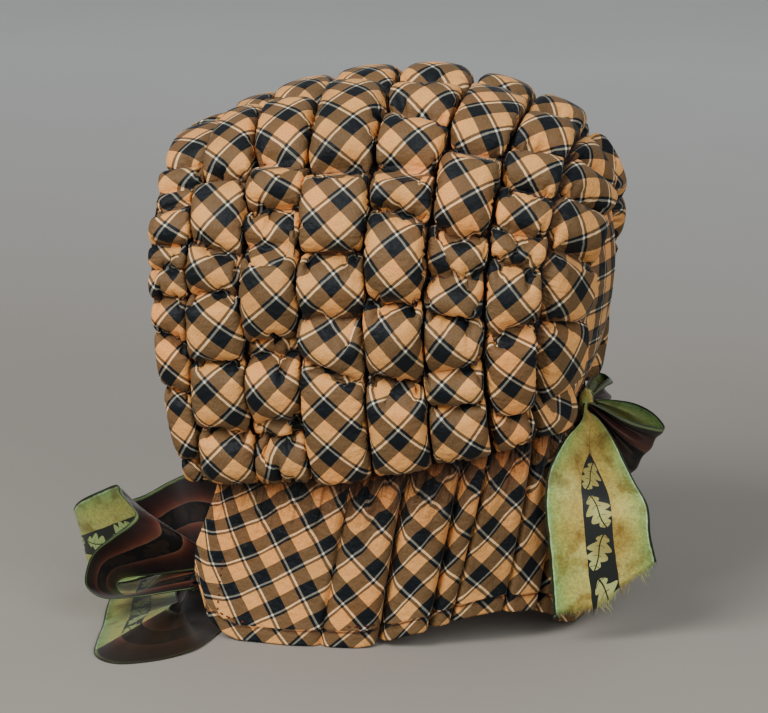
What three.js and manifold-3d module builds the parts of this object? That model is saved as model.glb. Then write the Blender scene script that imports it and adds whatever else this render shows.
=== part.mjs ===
// A wadded silk hood of the middle of the 19th century, standing on its neck curtain.
// Its crown is one padded cloth, drawn in along seams from ear to ear, so that it stands up in rolls
// of puffs.
// Lengths are millimetres. The face looks along -Y, the wearer's left is +X and the hood stands on Z = 0.
import * as THREE from "three";
import { mergeVertices } from "three/addons/utils/BufferGeometryUtils.js";
import Module from "manifold-3d";

const wasm = await Module();
wasm.setup();

// Sizes that drive the rest
const earHeight = 185; // height at which the hood is widest
const earShare = 0.56; // share of the way from the top of the head to the neck that lies above the ear
const valleyWall = 2; // cloth and thin wadding outside a seam
const liningWall = 1.5; // cloth and thin wadding inside a seam
const creaseShare = 0.3; // height of a cross crease, as a share of its roll's height
const curtainWall = 2;
const ribbonWall = 1;
const curtainStart = 1; // seam at which the curtain's front corner is sewn on
const curtainDrop = 1.3; // of the curtain's upper edge below the crown
const sewnGap = 0.4; // between two pieces that are sewn together
const panelWall = 3;
const panelBulge = 11;

// Seams between the rolls, from the face edge to the back panel. Each is an arch over the head, given by its
// y at the neck, the ear and the top, its half width at the ear and the neck, and the height of its top and
// of its ends.
const seams = [
  { yNeck: -96, yEar: -112, yTop: -111, half: 79, halfNeck: 70, top: 247, neck: 84 },
  { yNeck: -84, yEar: -92, yTop: -83, half: 82, halfNeck: 72, top: 256, neck: 85 },
  { yNeck: -56, yEar: -62.5, yTop: -62, half: 84, halfNeck: 75, top: 264, neck: 86 },
  { yNeck: -28, yEar: -33, yTop: -32, half: 86, halfNeck: 77, top: 272, neck: 89 },
  { yNeck: 3, yEar: 1, yTop: 2, half: 87, halfNeck: 77, top: 277, neck: 95 },
  { yNeck: 34, yEar: 31, yTop: 40, half: 86, halfNeck: 75, top: 276, neck: 102 },
  { yNeck: 63, yEar: 61, yTop: 70, half: 83, halfNeck: 69, top: 268, neck: 108 },
  { yNeck: 80, yEar: 87, yTop: 96, half: 75, halfNeck: 58, top: 257, neck: 114 },
  { yNeck: 96, yEar: 103, yTop: 112, half: 45, halfNeck: 38, top: 228, neck: 120 },
];

// The rolls between the seams. height is how far a roll stands off its seams. Each cross crease leaves the
// seam in front at a percentage of the way from the top of the head to the neck, and reaches the seam behind
// at another. top is the crease over the top of the head, where a minus is on the wearer's right. The rest of
// the wearer's right repeats the creases of the roll named by twin.
const rolls = [
  {
    height: 9,
    twin: 6,
    top: [-2, 1],
    front: [18, 26, 32, 42, 49, 57, 63, 76, 93],
    back: [20, 26, 30, 43, 49, 56, 67, 79, 94],
  },
  {
    height: 13,
    twin: 3,
    top: [-5, -2],
    front: [14, 29, 43, 54, 67, 84, 97],
    back: [10, 28, 46, 52, 68, 85, 97],
  },
  {
    height: 14.5,
    twin: 5,
    top: [1, -4],
    front: [7, 26, 35, 43, 65, 79, 87, 97],
    back: [9, 26, 36, 46, 62, 81, 86, 97],
  },
  {
    height: 15,
    twin: 1,
    top: [-3, 2],
    front: [11, 26, 45, 55, 66, 97],
    back: [13, 28, 45, 56, 71, 97],
  },
  {
    height: 15,
    twin: 6,
    top: [0, -5],
    front: [16, 27, 38, 51, 68, 97],
    back: [11, 28, 39, 54, 73, 97],
  },
  {
    height: 14,
    twin: 2,
    top: [-4, 1],
    front: [11, 21, 37, 47, 54, 67, 79, 96],
    back: [15, 23, 40, 47, 55, 69, 79, 98],
  },
  {
    height: 13,
    twin: 4,
    top: [2, -3],
    front: [14, 26, 37, 46, 58, 80, 94],
    back: [14, 27, 40, 48, 58, 85, 97],
  },
  {
    height: 12,
    twin: 3,
    top: [-3, -1],
    front: [12, 26, 38, 56, 80, 96],
    back: [4, 26, 42, 63, 80, 98],
  },
];

// The neck curtain's hem on the wearer's left, from the front corner to the nape. share is how far along the
// curtain's seam the cloth above that point is sewn. fold is how far a fold there stands out from the smooth
// line of x and y, or goes in.
const hem = [
  { share: 0.0, x: 80, y: -88, z: 26, fold: 0 },
  { share: 0.03, x: 80, y: -85, z: 12, fold: 0 },
  { share: 0.07, x: 80, y: -77, z: 4, fold: 0 },
  { share: 0.12, x: 81, y: -67, z: 0, fold: 0 },
  { share: 0.19, x: 83, y: -52, z: 0, fold: 0 },
  { share: 0.26, x: 83, y: -38, z: 0, fold: 1 },
  { share: 0.32, x: 81, y: -24, z: 0, fold: -5 },
  { share: 0.38, x: 79, y: -10, z: 0, fold: 5 },
  { share: 0.43, x: 76, y: 3, z: 2, fold: -9 },
  { share: 0.49, x: 73, y: 14, z: 5, fold: 5 },
  { share: 0.55, x: 71, y: 28, z: 10, fold: -9 },
  { share: 0.6, x: 67, y: 38, z: 13, fold: -6 },
  { share: 0.64, x: 64, y: 46, z: 15, fold: 5 },
  { share: 0.68, x: 61, y: 55, z: 17, fold: 6 },
  { share: 0.73, x: 57, y: 63, z: 18, fold: 1 },
  { share: 0.78, x: 53, y: 71, z: 17, fold: -5 },
  { share: 0.83, x: 47, y: 79, z: 16, fold: 4 },
  { share: 0.88, x: 39, y: 87, z: 12, fold: -3 },
  { share: 0.92, x: 29, y: 93, z: 4, fold: 3 },
  { share: 0.96, x: 15, y: 98, z: 0, fold: -4 },
  { share: 1.0, x: 0, y: 101, z: 0, fold: 3 },
];

// Ribbons are strips between two edges. Each row is one section across the strip: a point on either edge.
const tieLeft = [
  { a: [70.6, -79, 83], b: [73.5, -78, 50] },
  { a: [64, -97, 85], b: [44, -97, 38] },
  { a: [44, -113, 75], b: [27, -112, 28] },
  { a: [26, -134, 60], b: [15, -125, 17] },
  { a: [8, -155, 50], b: [8, -145, 9] },
  { a: [-2, -171, 48], b: [2, -162, 5] },
  { a: [8, -176, 50], b: [6, -168, 5] },
  { a: [20, -170, 55], b: [14, -152, 6] },
  { a: [30, -156, 63], b: [22, -133, 13] },
  { a: [40, -144, 70], b: [32, -108, 25] },
  { a: [50, -140, 68], b: [44, -94, 36] },
  { a: [58, -133, 65], b: [47, -90, 34] },
  { a: [63, -128, 61], b: [44, -95, 27] },
  { a: [67, -131, 56], b: [42, -107, 24] },
  { a: [71, -139, 50], b: [40, -124, 21] },
  { a: [75, -147, 44], b: [38, -139, 18] },
  { a: [78, -151, 36], b: [36, -145, 14] },
  { a: [78, -152, 25], b: [34, -145, 9] },
  { a: [78, -144, 19], b: [38, -139, 8] },
  { a: [74, -133, 18], b: [37, -128, 12] },
  { a: [66, -117, 18], b: [36, -120, 20] },
  { a: [58, -100, 19], b: [33, -103, 26] },
];
const tieRight = [
  { a: [-70.6, -79, 83], b: [-73.5, -78, 50] },
  { a: [-63, -96, 83], b: [-68, -90, 48] },
  { a: [-40, -106, 66], b: [-56, -94, 24] },
  { a: [-12, -110, 34], b: [-34, -84, 4] },
  { a: [8, -112, 8], b: [-10, -72, 0.6] },
  { a: [28, -112, 2], b: [30, -72, 0.6] },
  { a: [44, -109, 2], b: [62, -80, 0.6] },
  { a: [58, -105, 5], b: [88, -84, 0.6] },
  { a: [70, -101, 12], b: [106, -90, 0.6] },
  { a: [78, -102, 12], b: [122, -104, 0.6] },
  { a: [84, -103, 15], b: [130, -122, 0.6] },
  { a: [84, -105, 17], b: [120, -136, 0.6] },
  { a: [76, -106, 16], b: [97, -141, 1] },
  { a: [52, -108, 10], b: [66, -146, 1] },
  { a: [14, -118, 4], b: [38, -151, 1] },
  { a: [-24, -120, 3], b: [4, -157, 0.6] },
];
const bowTailLeft = [
  { a: [9.4, 103.6, 119.5], b: [9.4, 104.4, 116] },
  { a: [26, 104, 114], b: [17, 112, 112] },
  { a: [42, 97, 107], b: [22, 121, 102] },
  { a: [54, 91, 95], b: [30, 132, 86] },
  { a: [60, 90, 77], b: [48, 142, 76] },
  { a: [62, 93, 48], b: [50, 144, 61] },
  { a: [60, 95, 18], b: [46, 147, 45] },
];
const bowTailRight = [
  { a: [-5.5, 103.4, 111.8], b: [-2, 104.8, 110.2] },
  { a: [-16, 103, 98], b: [-10, 108, 95] },
  { a: [-30, 102, 83], b: [-15, 112, 78] },
  { a: [-54, 96, 72], b: [-18, 117, 59] },
  { a: [-67, 89, 57], b: [-26, 117, 44] },
  { a: [-70, 86, 34], b: [-31, 116, 22] },
  { a: [-70, 85, 22], b: [-31, 115, 8] },
];
const bowLoopLeft = [
  { a: [7, 106.5, 119], b: [7, 106.5, 116] },
  { a: [10, 114, 117], b: [11, 110, 103] },
  { a: [12, 126, 112], b: [13, 113, 91] },
  { a: [8, 137, 108], b: [12, 117, 77] },
  { a: [0, 145, 105], b: [6, 120, 68] },
  { a: [-10, 138, 110], b: [0, 115, 74] },
  { a: [-14, 127, 114], b: [-2, 111, 85] },
  { a: [-8, 115, 117], b: [-3, 109, 101] },
  { a: [-2, 108, 118], b: [-2, 108, 114] },
];
const bowLoopRight = [
  { a: [-7.6, 103.8, 119], b: [-7.6, 103.8, 116] },
  { a: [-18, 107, 121], b: [-18, 106, 106] },
  { a: [-30, 110, 122], b: [-30, 107, 92] },
  { a: [-42, 110, 120], b: [-42, 107, 84] },
  { a: [-54, 106, 119], b: [-52, 104, 80] },
  { a: [-53, 101, 120], b: [-51, 100, 84] },
  { a: [-36, 102, 121], b: [-36, 101, 95] },
  { a: [-8, 101.6, 118.5], b: [-8, 101.6, 116] },
];

const knotCentre = [1, 103.2, 117.5];
const knotSize = [16, 8, 14]; // along x, y and z

const silk = { roughness: 0.55, metalness: 0 };

function mix(a, b, t) {
  return a + (b - a) * t;
}

// The seam's numbers at any place across the rolls: 0 is the face edge and each whole number is a seam
function seamAt(place) {
  const first = Math.min(Math.floor(place), seams.length - 2);
  const t = place - first;
  const seam = {};
  for (const key of Object.keys(seams[0])) {
    seam[key] = mix(seams[first][key], seams[first + 1][key], t);
  }
  return seam;
}

// A point on the arch at that place. way runs from -1 at the right of the neck over the top to 1 at the left.
function archPoint(place, way, inset = 0) {
  const seam = seamAt(place);
  const t = Math.abs(way);
  const side = way < 0 ? -1 : 1;
  const y =
    (seam.yTop * (t - earShare) * (t - 1)) / earShare +
    (seam.yEar * t * (t - 1)) / (earShare * (earShare - 1)) +
    (seam.yNeck * t * (t - earShare)) / (1 - earShare);
  const half = seam.half - inset;
  if (t < earShare) {
    const angle = ((t / earShare) * Math.PI) / 2;
    const rise = seam.top - inset - earHeight;
    return new THREE.Vector3(side * half * Math.sin(angle), y, earHeight + rise * Math.cos(angle));
  }
  const fall = (t - earShare) / (1 - earShare);
  const x = half - (seam.half - seam.halfNeck) * fall * fall;
  return new THREE.Vector3(side * x, y, mix(earHeight, seam.neck, fall));
}

function archNormal(place, way) {
  const step = 0.01;
  const back = archPoint(Math.min(place + step, seams.length - 1), way);
  const front = archPoint(Math.max(place - step, 0), way);
  const left = archPoint(place, Math.min(way + step, 1));
  const right = archPoint(place, Math.max(way - step, -1));
  const normal = left.sub(right).cross(back.sub(front));
  if (Math.abs(way) === 1) {
    normal.z = 0;
  }
  return normal.normalize();
}

// A swelling between 0 and 1 that is full in the middle and steep at both ends
function swell(t, fullness) {
  return Math.sqrt(1 - Math.min(1, Math.abs(2 * t - 1)) ** fullness);
}

// How far the wadding lifts the cloth off the seams
function puffHeight(place, way) {
  const index = Math.min(Math.floor(place), rolls.length - 1);
  const across = place - index;
  const roll = rolls[index];
  const left = roll.front.map((front, i) => mix(front, roll.back[i], across) / 100);
  const twin = rolls[roll.twin];
  const right = twin.front.map((front, i) => -mix(front, twin.back[i], 1 - across) / 100);
  const top = mix(roll.top[0], roll.top[1], across) / 100;
  const creases = [-1.02, ...right.reverse(), top, ...left, 1.02];
  const after = creases.findIndex((crease) => crease > way);
  const t = (way - creases[after - 1]) / (creases[after] - creases[after - 1]);
  const along = mix(creaseShare, 1, swell(t, 2));
  const drawnIn = Math.min(1, (1 - Math.abs(way)) / 0.03);
  return roll.height * swell(across, 2.2) * along * drawnIn;
}

// Turns lists of points and of triangles into a manifold solid
function solidFrom(points, triangles) {
  return new wasm.Manifold(
    new wasm.Mesh({
      numProp: 3,
      vertProperties: Float32Array.from(points.flatMap((p) => [p.x, p.y, p.z])),
      triVerts: Uint32Array.from(triangles.flat()),
    }),
  );
}

function geometryFrom(points, triangles) {
  const geometry = new THREE.BufferGeometry();
  const positions = Float32Array.from(points.flatMap((p) => [p.x, p.y, p.z]));
  geometry.setAttribute("position", new THREE.BufferAttribute(positions, 3));
  geometry.setIndex(triangles.flat());
  return geometry;
}

// A solid through closed rings of points, with a fan over the first and the last ring
function lump(rings) {
  const count = rings[0].length;
  const points = rings.flat();
  const triangles = [];
  for (let i = 0; i + 1 < rings.length; i += 1) {
    for (let j = 0; j < count; j += 1) {
      const k = (j + 1) % count;
      triangles.push([i * count + j, (i + 1) * count + k, (i + 1) * count + j]);
      triangles.push([i * count + j, i * count + k, (i + 1) * count + k]);
    }
  }
  for (const ring of [0, rings.length - 1]) {
    const centre = points.length;
    const middle = new THREE.Vector3();
    rings[ring].forEach((p) => middle.add(p));
    points.push(middle.divideScalar(count));
    for (let j = 0; j < count; j += 1) {
      const k = (j + 1) % count;
      const a = ring * count + j;
      const b = ring * count + k;
      triangles.push(ring === 0 ? [centre, b, a] : [centre, a, b]);
    }
  }
  return solidFrom(points, triangles);
}

// A wall between an outer and an inner surface, each given as rows of points
function wall(outer, inner) {
  const rows = outer.length;
  const columns = outer[0].length;
  const points = [...outer.flat(), ...inner.flat()];
  const far = rows * columns;
  const triangles = [];
  const quad = (a, b, c, d) => triangles.push([a, c, b], [a, d, c]);
  for (let i = 0; i + 1 < rows; i += 1) {
    for (let j = 0; j + 1 < columns; j += 1) {
      const a = i * columns + j;
      quad(a, a + columns, a + columns + 1, a + 1);
      quad(far + a, far + a + 1, far + a + columns + 1, far + a + columns);
    }
  }
  for (let i = 0; i + 1 < rows; i += 1) {
    const a = i * columns;
    const b = a + columns - 1;
    quad(a, far + a, far + a + columns, a + columns);
    quad(b, b + columns, far + b + columns, far + b);
  }
  for (let j = 0; j + 1 < columns; j += 1) {
    const b = (rows - 1) * columns + j;
    quad(j, j + 1, far + j + 1, far + j);
    quad(b, far + b, far + b + 1, b + 1);
  }
  return geometryFrom(points, triangles);
}

function part(name, geometry, colour) {
  const material = new THREE.MeshStandardMaterial({ color: colour, ...silk });
  const mesh = new THREE.Mesh(geometry, material);
  mesh.name = name;
  return mesh;
}

const archSteps = 36; // along each arch of the lining, and of the panel that fits it
const liningWays = Array.from({ length: archSteps + 1 }, (_, i) => -1 + (2 * i) / archSteps);

function quiltedCrown() {
  const acrossRoll = [0, 0.1, 0.33, 0.67, 0.9];
  const places = [...rolls.flatMap((_, i) => acrossRoll.map((t) => i + t)), rolls.length];
  const stepsAlong = 76;
  const outside = places.map((place) =>
    Array.from({ length: stepsAlong + 1 }, (_, j) => {
      const way = -1 + (2 * j) / stepsAlong;
      const lift = valleyWall + puffHeight(place, way);
      return archPoint(place, way).addScaledVector(archNormal(place, way), lift);
    }),
  );
  const past = 40; // how far the head space runs on past the face edge, the back and the neck
  const inside = seams.map((_, place) => {
    const arch = liningWays.map((way) => archPoint(place, way, liningWall));
    const down = (p) => new THREE.Vector3(p.x, p.y, p.z - past);
    return [down(arch[0]), ...arch, down(arch[arch.length - 1])];
  });
  const shifted = (ring, dy) => ring.map((p) => new THREE.Vector3(p.x, p.y + dy, p.z));
  const headSpace = lump([shifted(inside[0], -past), ...inside, shifted(inside[inside.length - 1], past)]);
  const mesh = lump(outside).subtract(headSpace).getMesh();
  const geometry = new THREE.BufferGeometry();
  geometry.setAttribute("position", new THREE.BufferAttribute(mesh.vertProperties, 3));
  geometry.setIndex(Array.from(mesh.triVerts));
  return part("quilted_crown", geometry, 0x8c6a48);
}

// The flat panel at the back of the head fills the last seam's arch
function backPanel() {
  const edge = liningWays.map((way) => archPoint(seams.length - 1, way, liningWall + sewnGap));
  const middle = new THREE.Vector3(0, edge[archSteps / 2].y, mix(edge[0].z, edge[archSteps / 2].z, 0.55));
  middle.y = mix(edge[0].y, middle.y, 0.55);
  const rings = [0.3, 0.65, 1];
  const layer = (shift) => {
    const points = [middle.clone().add(new THREE.Vector3(0, shift + panelBulge, 0))];
    for (const ring of rings) {
      for (const p of edge) {
        const q = middle.clone().lerp(p, ring);
        q.y += shift + panelBulge * (1 - ring * ring);
        points.push(q);
      }
    }
    return points;
  };
  const count = edge.length;
  const front = layer(sewnGap - panelWall);
  const rear = layer(sewnGap);
  const points = [...rear, ...front];
  const triangles = [];
  for (const [start, flip] of [
    [0, false],
    [rear.length, true],
  ]) {
    const face = (a, b, c) => triangles.push(flip ? [a, c, b] : [a, b, c]);
    for (let j = 0; j < count; j += 1) {
      const k = (j + 1) % count;
      face(start, start + 1 + j, start + 1 + k);
      for (let ring = 0; ring + 1 < rings.length; ring += 1) {
        const a = start + 1 + ring * count;
        face(a + j, a + count + j, a + count + k);
        face(a + j, a + count + k, a + k);
      }
    }
  }
  const rim = 1 + (rings.length - 1) * count;
  for (let j = 0; j < count; j += 1) {
    const k = (j + 1) % count;
    triangles.push([rim + j, rear.length + rim + j, rear.length + rim + k]);
    triangles.push([rim + j, rear.length + rim + k, rim + k]);
  }
  return part("back_panel", geometryFrom(points, triangles), 0x8c6a48);
}

// A point of the curtain's seam on the wearer's left: share 0 is the front corner and 1 the nape
function neckPoint(share) {
  const sideShare = 0.85;
  const last = seams.length - 1;
  if (share <= sideShare) {
    return archPoint(mix(curtainStart, last, share / sideShare), 1);
  }
  const t = (share - sideShare) / (1 - sideShare);
  const corner = archPoint(last, 1);
  return new THREE.Vector3(corner.x * (1 - t), corner.y + 1.5 * Math.sin((t * Math.PI) / 2), corner.z);
}

function neckCurtain() {
  const curve = new THREE.CatmullRomCurve3(hem.map((row) => new THREE.Vector3(row.x, row.y, 0)));
  const columns = [];
  const cuts = 2; // columns for each row of the table
  const steps = (hem.length - 1) * cuts;
  for (let i = 0; i <= steps; i += 1) {
    const row = Math.min(Math.floor(i / cuts), hem.length - 2);
    const along = (key) => mix(hem[row][key], hem[row + 1][key], i / cuts - row);
    const low = curve.getPoint(i / steps).setZ(along("z"));
    const way = curve.getTangent(i / steps);
    const fold = new THREE.Vector3(way.y, -way.x, 0).multiplyScalar(along("fold"));
    columns.push({ high: neckPoint(along("share")), low, fold });
  }
  const mirror = (p) => new THREE.Vector3(-p.x, p.y, p.z);
  const mirrored = columns.slice(0, -1).map(({ high, low, fold }) => ({
    high: mirror(high),
    low: mirror(low),
    fold: mirror(fold),
  }));
  const all = [...columns, ...mirrored.reverse()];
  // Each fold is full from a third of the way down
  const levels = [
    { down: 0, folded: 0 },
    { down: 0.12, folded: 0.5 },
    { down: 0.35, folded: 1 },
    { down: 0.7, folded: 1.05 },
    { down: 1, folded: 1 },
  ];
  const middle = all.map(({ high, low, fold }) =>
    levels.map(({ down, folded }) => {
      const p = high.clone().lerp(low, down).addScaledVector(fold, folded);
      p.z -= curtainDrop * (1 - down);
      return p;
    }),
  );
  const offset = (sign) =>
    middle.map((column, i) => {
      const before = middle[Math.max(i - 1, 0)];
      const after = middle[Math.min(i + 1, middle.length - 1)];
      return column.map((p, j) => {
        const along = after[j].clone().sub(before[j]);
        const normal = new THREE.Vector3(along.y, -along.x, 0).normalize();
        return p.clone().addScaledVector(normal, (sign * curtainWall) / 2);
      });
    });
  return part("neck_curtain", wall(offset(1), offset(-1)), 0x94704c);
}

// A ribbon through its table of sections
function ribbon(name, rows, colour, turned = false) {
  const edge = (key) => {
    const points = rows.map((row) => new THREE.Vector3(...row[key]));
    return new THREE.CatmullRomCurve3(points, false, "centripetal");
  };
  const first = edge("a");
  const second = edge("b");
  const steps = (rows.length - 1) * 2;
  const middle = Array.from({ length: steps + 1 }, (_, i) => {
    const a = first.getPoint(i / steps);
    const b = second.getPoint(i / steps);
    return [a, a.clone().lerp(b, 0.5), b];
  });
  const normals = middle.map((row, i) => {
    const along = middle[Math.min(i + 1, steps)][1].clone().sub(middle[Math.max(i - 1, 0)][1]);
    return row[2].clone().sub(row[0]).cross(along).normalize();
  });
  const layer = (sign) =>
    middle.map((row, i) =>
      row.map((p) => {
        const q = p.clone().addScaledVector(normals[i], (sign * ribbonWall) / 2);
        q.z = Math.max(q.z, sign === (normals[i].z > 0 ? 1 : -1) ? ribbonWall : 0);
        return q;
      }),
    );
  return part(name, turned ? wall(layer(-1), layer(1)) : wall(layer(1), layer(-1)), colour);
}

function knot() {
  const geometry = new THREE.SphereGeometry(0.5, 12, 8);
  geometry.scale(...knotSize);
  geometry.translate(...knotCentre);
  geometry.deleteAttribute("normal");
  geometry.deleteAttribute("uv");
  return part("bow_knot", mergeVertices(geometry, 1e-4), 0x5b3a32);
}

const hood = new THREE.Group();
hood.add(quiltedCrown());
hood.add(backPanel());
hood.add(neckCurtain());
hood.add(ribbon("tie_left", tieLeft, 0x7d8450));
hood.add(ribbon("tie_right", tieRight, 0x7d8450));
hood.add(ribbon("bow_tail_left", bowTailLeft, 0x9aa05c));
hood.add(ribbon("bow_tail_right", bowTailRight, 0x9aa05c));
hood.add(ribbon("bow_loop_left", bowLoopLeft, 0x5b3a32));
hood.add(ribbon("bow_loop_right", bowLoopRight, 0x5b3a32));
hood.add(knot());

// The origin is the middle of the whole part's base
const box = new THREE.Box3().setFromObject(hood);
const base = box.getCenter(new THREE.Vector3());
hood.position.set(-base.x, -base.y, -box.min.z);
hood.updateMatrixWorld(true);

export default hood;
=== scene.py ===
# A wadded silk hood that stands on its neck curtain: its puffs, plaid, ribbons, floor, light and camera.
# Tables and working lengths are in millimetres, in a frame whose x is 0 in the middle of the hood, and
# placed() turns them into metres in the frame of the solids.
import math

import bpy
import numpy as np
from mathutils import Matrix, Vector


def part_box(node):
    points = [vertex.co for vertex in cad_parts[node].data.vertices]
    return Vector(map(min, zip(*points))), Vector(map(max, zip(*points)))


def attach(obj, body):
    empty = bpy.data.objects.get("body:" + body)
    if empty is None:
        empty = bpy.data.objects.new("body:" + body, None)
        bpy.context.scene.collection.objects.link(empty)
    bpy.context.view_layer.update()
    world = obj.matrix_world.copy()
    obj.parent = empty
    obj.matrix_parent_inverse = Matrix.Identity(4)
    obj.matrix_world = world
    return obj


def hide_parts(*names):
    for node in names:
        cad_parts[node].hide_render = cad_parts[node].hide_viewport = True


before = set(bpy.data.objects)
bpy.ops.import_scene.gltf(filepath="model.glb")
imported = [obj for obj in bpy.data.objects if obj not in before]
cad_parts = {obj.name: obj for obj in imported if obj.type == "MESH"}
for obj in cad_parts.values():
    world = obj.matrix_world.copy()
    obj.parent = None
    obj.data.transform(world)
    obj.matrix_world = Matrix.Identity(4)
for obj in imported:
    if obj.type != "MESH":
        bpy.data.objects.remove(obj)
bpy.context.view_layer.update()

MM = 0.001
rng = np.random.default_rng(11)

# The crown's seams, from the face edge to the back panel: y at the neck, the ear and the top, half width at
# the ear and the neck, height of the top and of the neck ends
SEAMS = np.array(
    [
        (-96, -112, -111, 79, 70, 247, 84),
        (-84, -92, -83, 82, 72, 256, 85),
        (-56, -62.5, -62, 84, 75, 264, 86),
        (-28, -33, -32, 86, 77, 272, 89),
        (3, 1, 2, 87, 77, 277, 95),
        (34, 31, 40, 86, 75, 276, 102),
        (63, 61, 70, 83, 69, 268, 108),
        (80, 87, 96, 75, 58, 257, 114),
        (96, 103, 112, 45, 38, 228, 120),
    ],
    float,
)
EAR_HEIGHT = 185
EAR_SHARE = 0.56
LINING_WALL = 1.5
CURTAIN_START = 1.0

# The rolls between the seams: how high they are, and which roll the wearer's right repeats
ROLL_HEIGHTS = [9, 13, 14.5, 15, 15, 14, 13, 12]
ROLL_TWINS = [6, 3, 5, 1, 6, 2, 4, 3]

# Each roll's creases on the wearer's left, as percentages of the way from the top to the neck: at the seam in
# front, at the seam behind, and how much lower the crease hangs between them
CREASES = [
    [
        (18, 20, 0), (26, 26, 0), (32, 30, 0), (42, 43, 0), (49, 49, 0),
        (57, 56, 0), (63, 67, 0), (76, 79, 0), (93, 94, 0),
    ],
    [(27, 28, -1), (40, 45, 1), (54, 52, 0), (69, 69, 0), (85, 86, 0)],
    [(23, 26, -1), (35, 36, 0), (43, 43, -1), (65, 63, -0.5), (69, 67, -0.5), (81, 82, 1), (88, 87, 0)],
    [(27, 28, 0), (45, 45, 0), (55, 57, 0), (66, 72, 1)],
    [(13, 16, 0), (27, 27, 0), (37, 40, -1), (52, 53, 2), (70, 73, 2)],
    [(21, 20, 0), (38, 38, 1.5), (49, 46, -0.5), (55, 57, 1), (70, 69, 1.5), (81, 80, 2)],
    [(19, 16, -1), (28, 28, 0), (36, 37, 2), (44, 46, 1), (60, 58, 0.5), (83, 86, 2)],
    [(13, 4, 0), (26, 20, 0), (40, 39, -0.5), (59, 62, 0.5), (82, 83, 1)],
]
TOP_CREASES = [(-2, 1, 0), (-1, 4, 0), (2, 6, 0), (0, 5, 0), (3, 2, 0), (0, 0, 0), (5, 0, 0), (-3, -1, 0)]

# The neck curtain's hem on the wearer's left, from the front corner to the nape: share of the curtain's seam,
# and x, y and z of the hem
HEM = np.array(
    [
        (0.0, 80, -88, 26), (0.03, 80, -85, 12), (0.07, 80, -77, 4), (0.12, 81, -67, 0), (0.19, 83, -52, 0),
        (0.26, 83, -38, 0), (0.32, 81, -24, 0), (0.38, 79, -10, 0), (0.43, 76, 3, 2), (0.49, 73, 14, 5),
        (0.55, 71, 28, 10), (0.6, 67, 38, 13), (0.64, 64, 46, 15), (0.68, 61, 55, 17), (0.73, 57, 63, 18),
        (0.78, 53, 71, 17), (0.83, 47, 79, 16), (0.88, 39, 87, 12), (0.92, 29, 93, 4), (0.96, 15, 98, 0),
        (1.0, 0, 101, 0),
    ]
)

# Ribbons: each row is a section across, with a point on either edge
TIE_LEFT = [
    ((70.6, -79, 83), (73.5, -78, 50)),
    ((64, -97, 85), (44, -97, 38)),
    ((44, -113, 75), (27, -112, 28)),
    ((26, -134, 60), (15, -125, 17)),
    ((8, -155, 50), (8, -145, 9)),
    ((-2, -170, 44), (2, -162, 5)),
    ((8, -176, 44), (6, -168, 6)),
    ((20, -171, 53), (14, -152, 6)),
    ((30, -156, 63), (22, -133, 13)),
    ((40, -144, 70), (32, -108, 25)),
    ((50, -140, 68), (44, -94, 36)),
    ((58, -133, 65), (47, -90, 34)),
    ((63, -128, 61), (44, -95, 27)),
    ((67, -131, 56), (42, -107, 24)),
    ((71, -139, 50), (40, -124, 21)),
    ((75, -147, 44), (38, -139, 18)),
    ((78, -151, 36), (36, -145, 14)),
    ((78, -152, 25), (34, -145, 9)),
    ((78, -144, 19), (38, -139, 8)),
    ((74, -133, 18), (37, -128, 12)),
    ((66, -117, 18), (36, -120, 20)),
    ((58, -100, 19), (33, -103, 26)),
]
TIE_RIGHT = [
    ((-70.6, -79, 83), (-73.5, -78, 50)),
    ((-63, -96, 83), (-68, -90, 48)),
    ((-40, -106, 66), (-56, -94, 24)),
    ((-12, -110, 34), (-34, -84, 4)),
    ((8, -112, 8), (-10, -72, 0.6)),
    ((28, -112, 2), (30, -72, 0.6)),
    ((44, -109, 2), (62, -80, 0.6)),
    ((58, -105, 5), (88, -84, 0.6)),
    ((70, -101, 12), (106, -90, 0.6)),
    ((78, -102, 12), (122, -104, 0.6)),
    ((84, -103, 15), (130, -122, 0.6)),
    ((84, -105, 17), (120, -136, 0.6)),
    ((76, -106, 16), (97, -141, 1)),
    ((52, -108, 10), (66, -146, 1)),
    ((14, -118, 4), (38, -151, 1)),
    ((-24, -120, 3), (4, -157, 0.6)),
]
BOW_TAIL_LEFT = [
    ((9.4, 103.6, 119.5), (9.4, 104.4, 116)),
    ((26, 104, 114), (17, 112, 112)),
    ((42, 97, 107), (22, 121, 102)),
    ((54, 91, 95), (30, 132, 86)),
    ((60, 90, 77), (48, 142, 76)),
    ((62, 93, 48), (50, 144, 61)),
    ((60, 95, 18), (46, 147, 45)),
]
BOW_TAIL_RIGHT = [
    ((-5.5, 103.4, 111.8), (-2, 104.8, 110.2)),
    ((-16, 103, 98), (-10, 108, 95)),
    ((-30, 102, 83), (-15, 112, 78)),
    ((-54, 96, 72), (-18, 117, 59)),
    ((-67, 89, 57), (-26, 117, 44)),
    ((-70, 86, 34), (-31, 116, 22)),
    ((-70, 85, 22), (-31, 115, 8)),
]
BOW_LOOP_LEFT = [
    ((7, 106.5, 119), (7, 106.5, 116)),
    ((10, 114, 117), (11, 110, 103)),
    ((12, 126, 112), (13, 113, 91)),
    ((8, 137, 108), (12, 117, 77)),
    ((0, 145, 105), (6, 120, 68)),
    ((-10, 138, 110), (0, 115, 74)),
    ((-14, 127, 114), (-2, 111, 85)),
    ((-8, 115, 117), (-3, 109, 101)),
    ((-2, 108, 118), (-2, 108, 114)),
]
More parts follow.
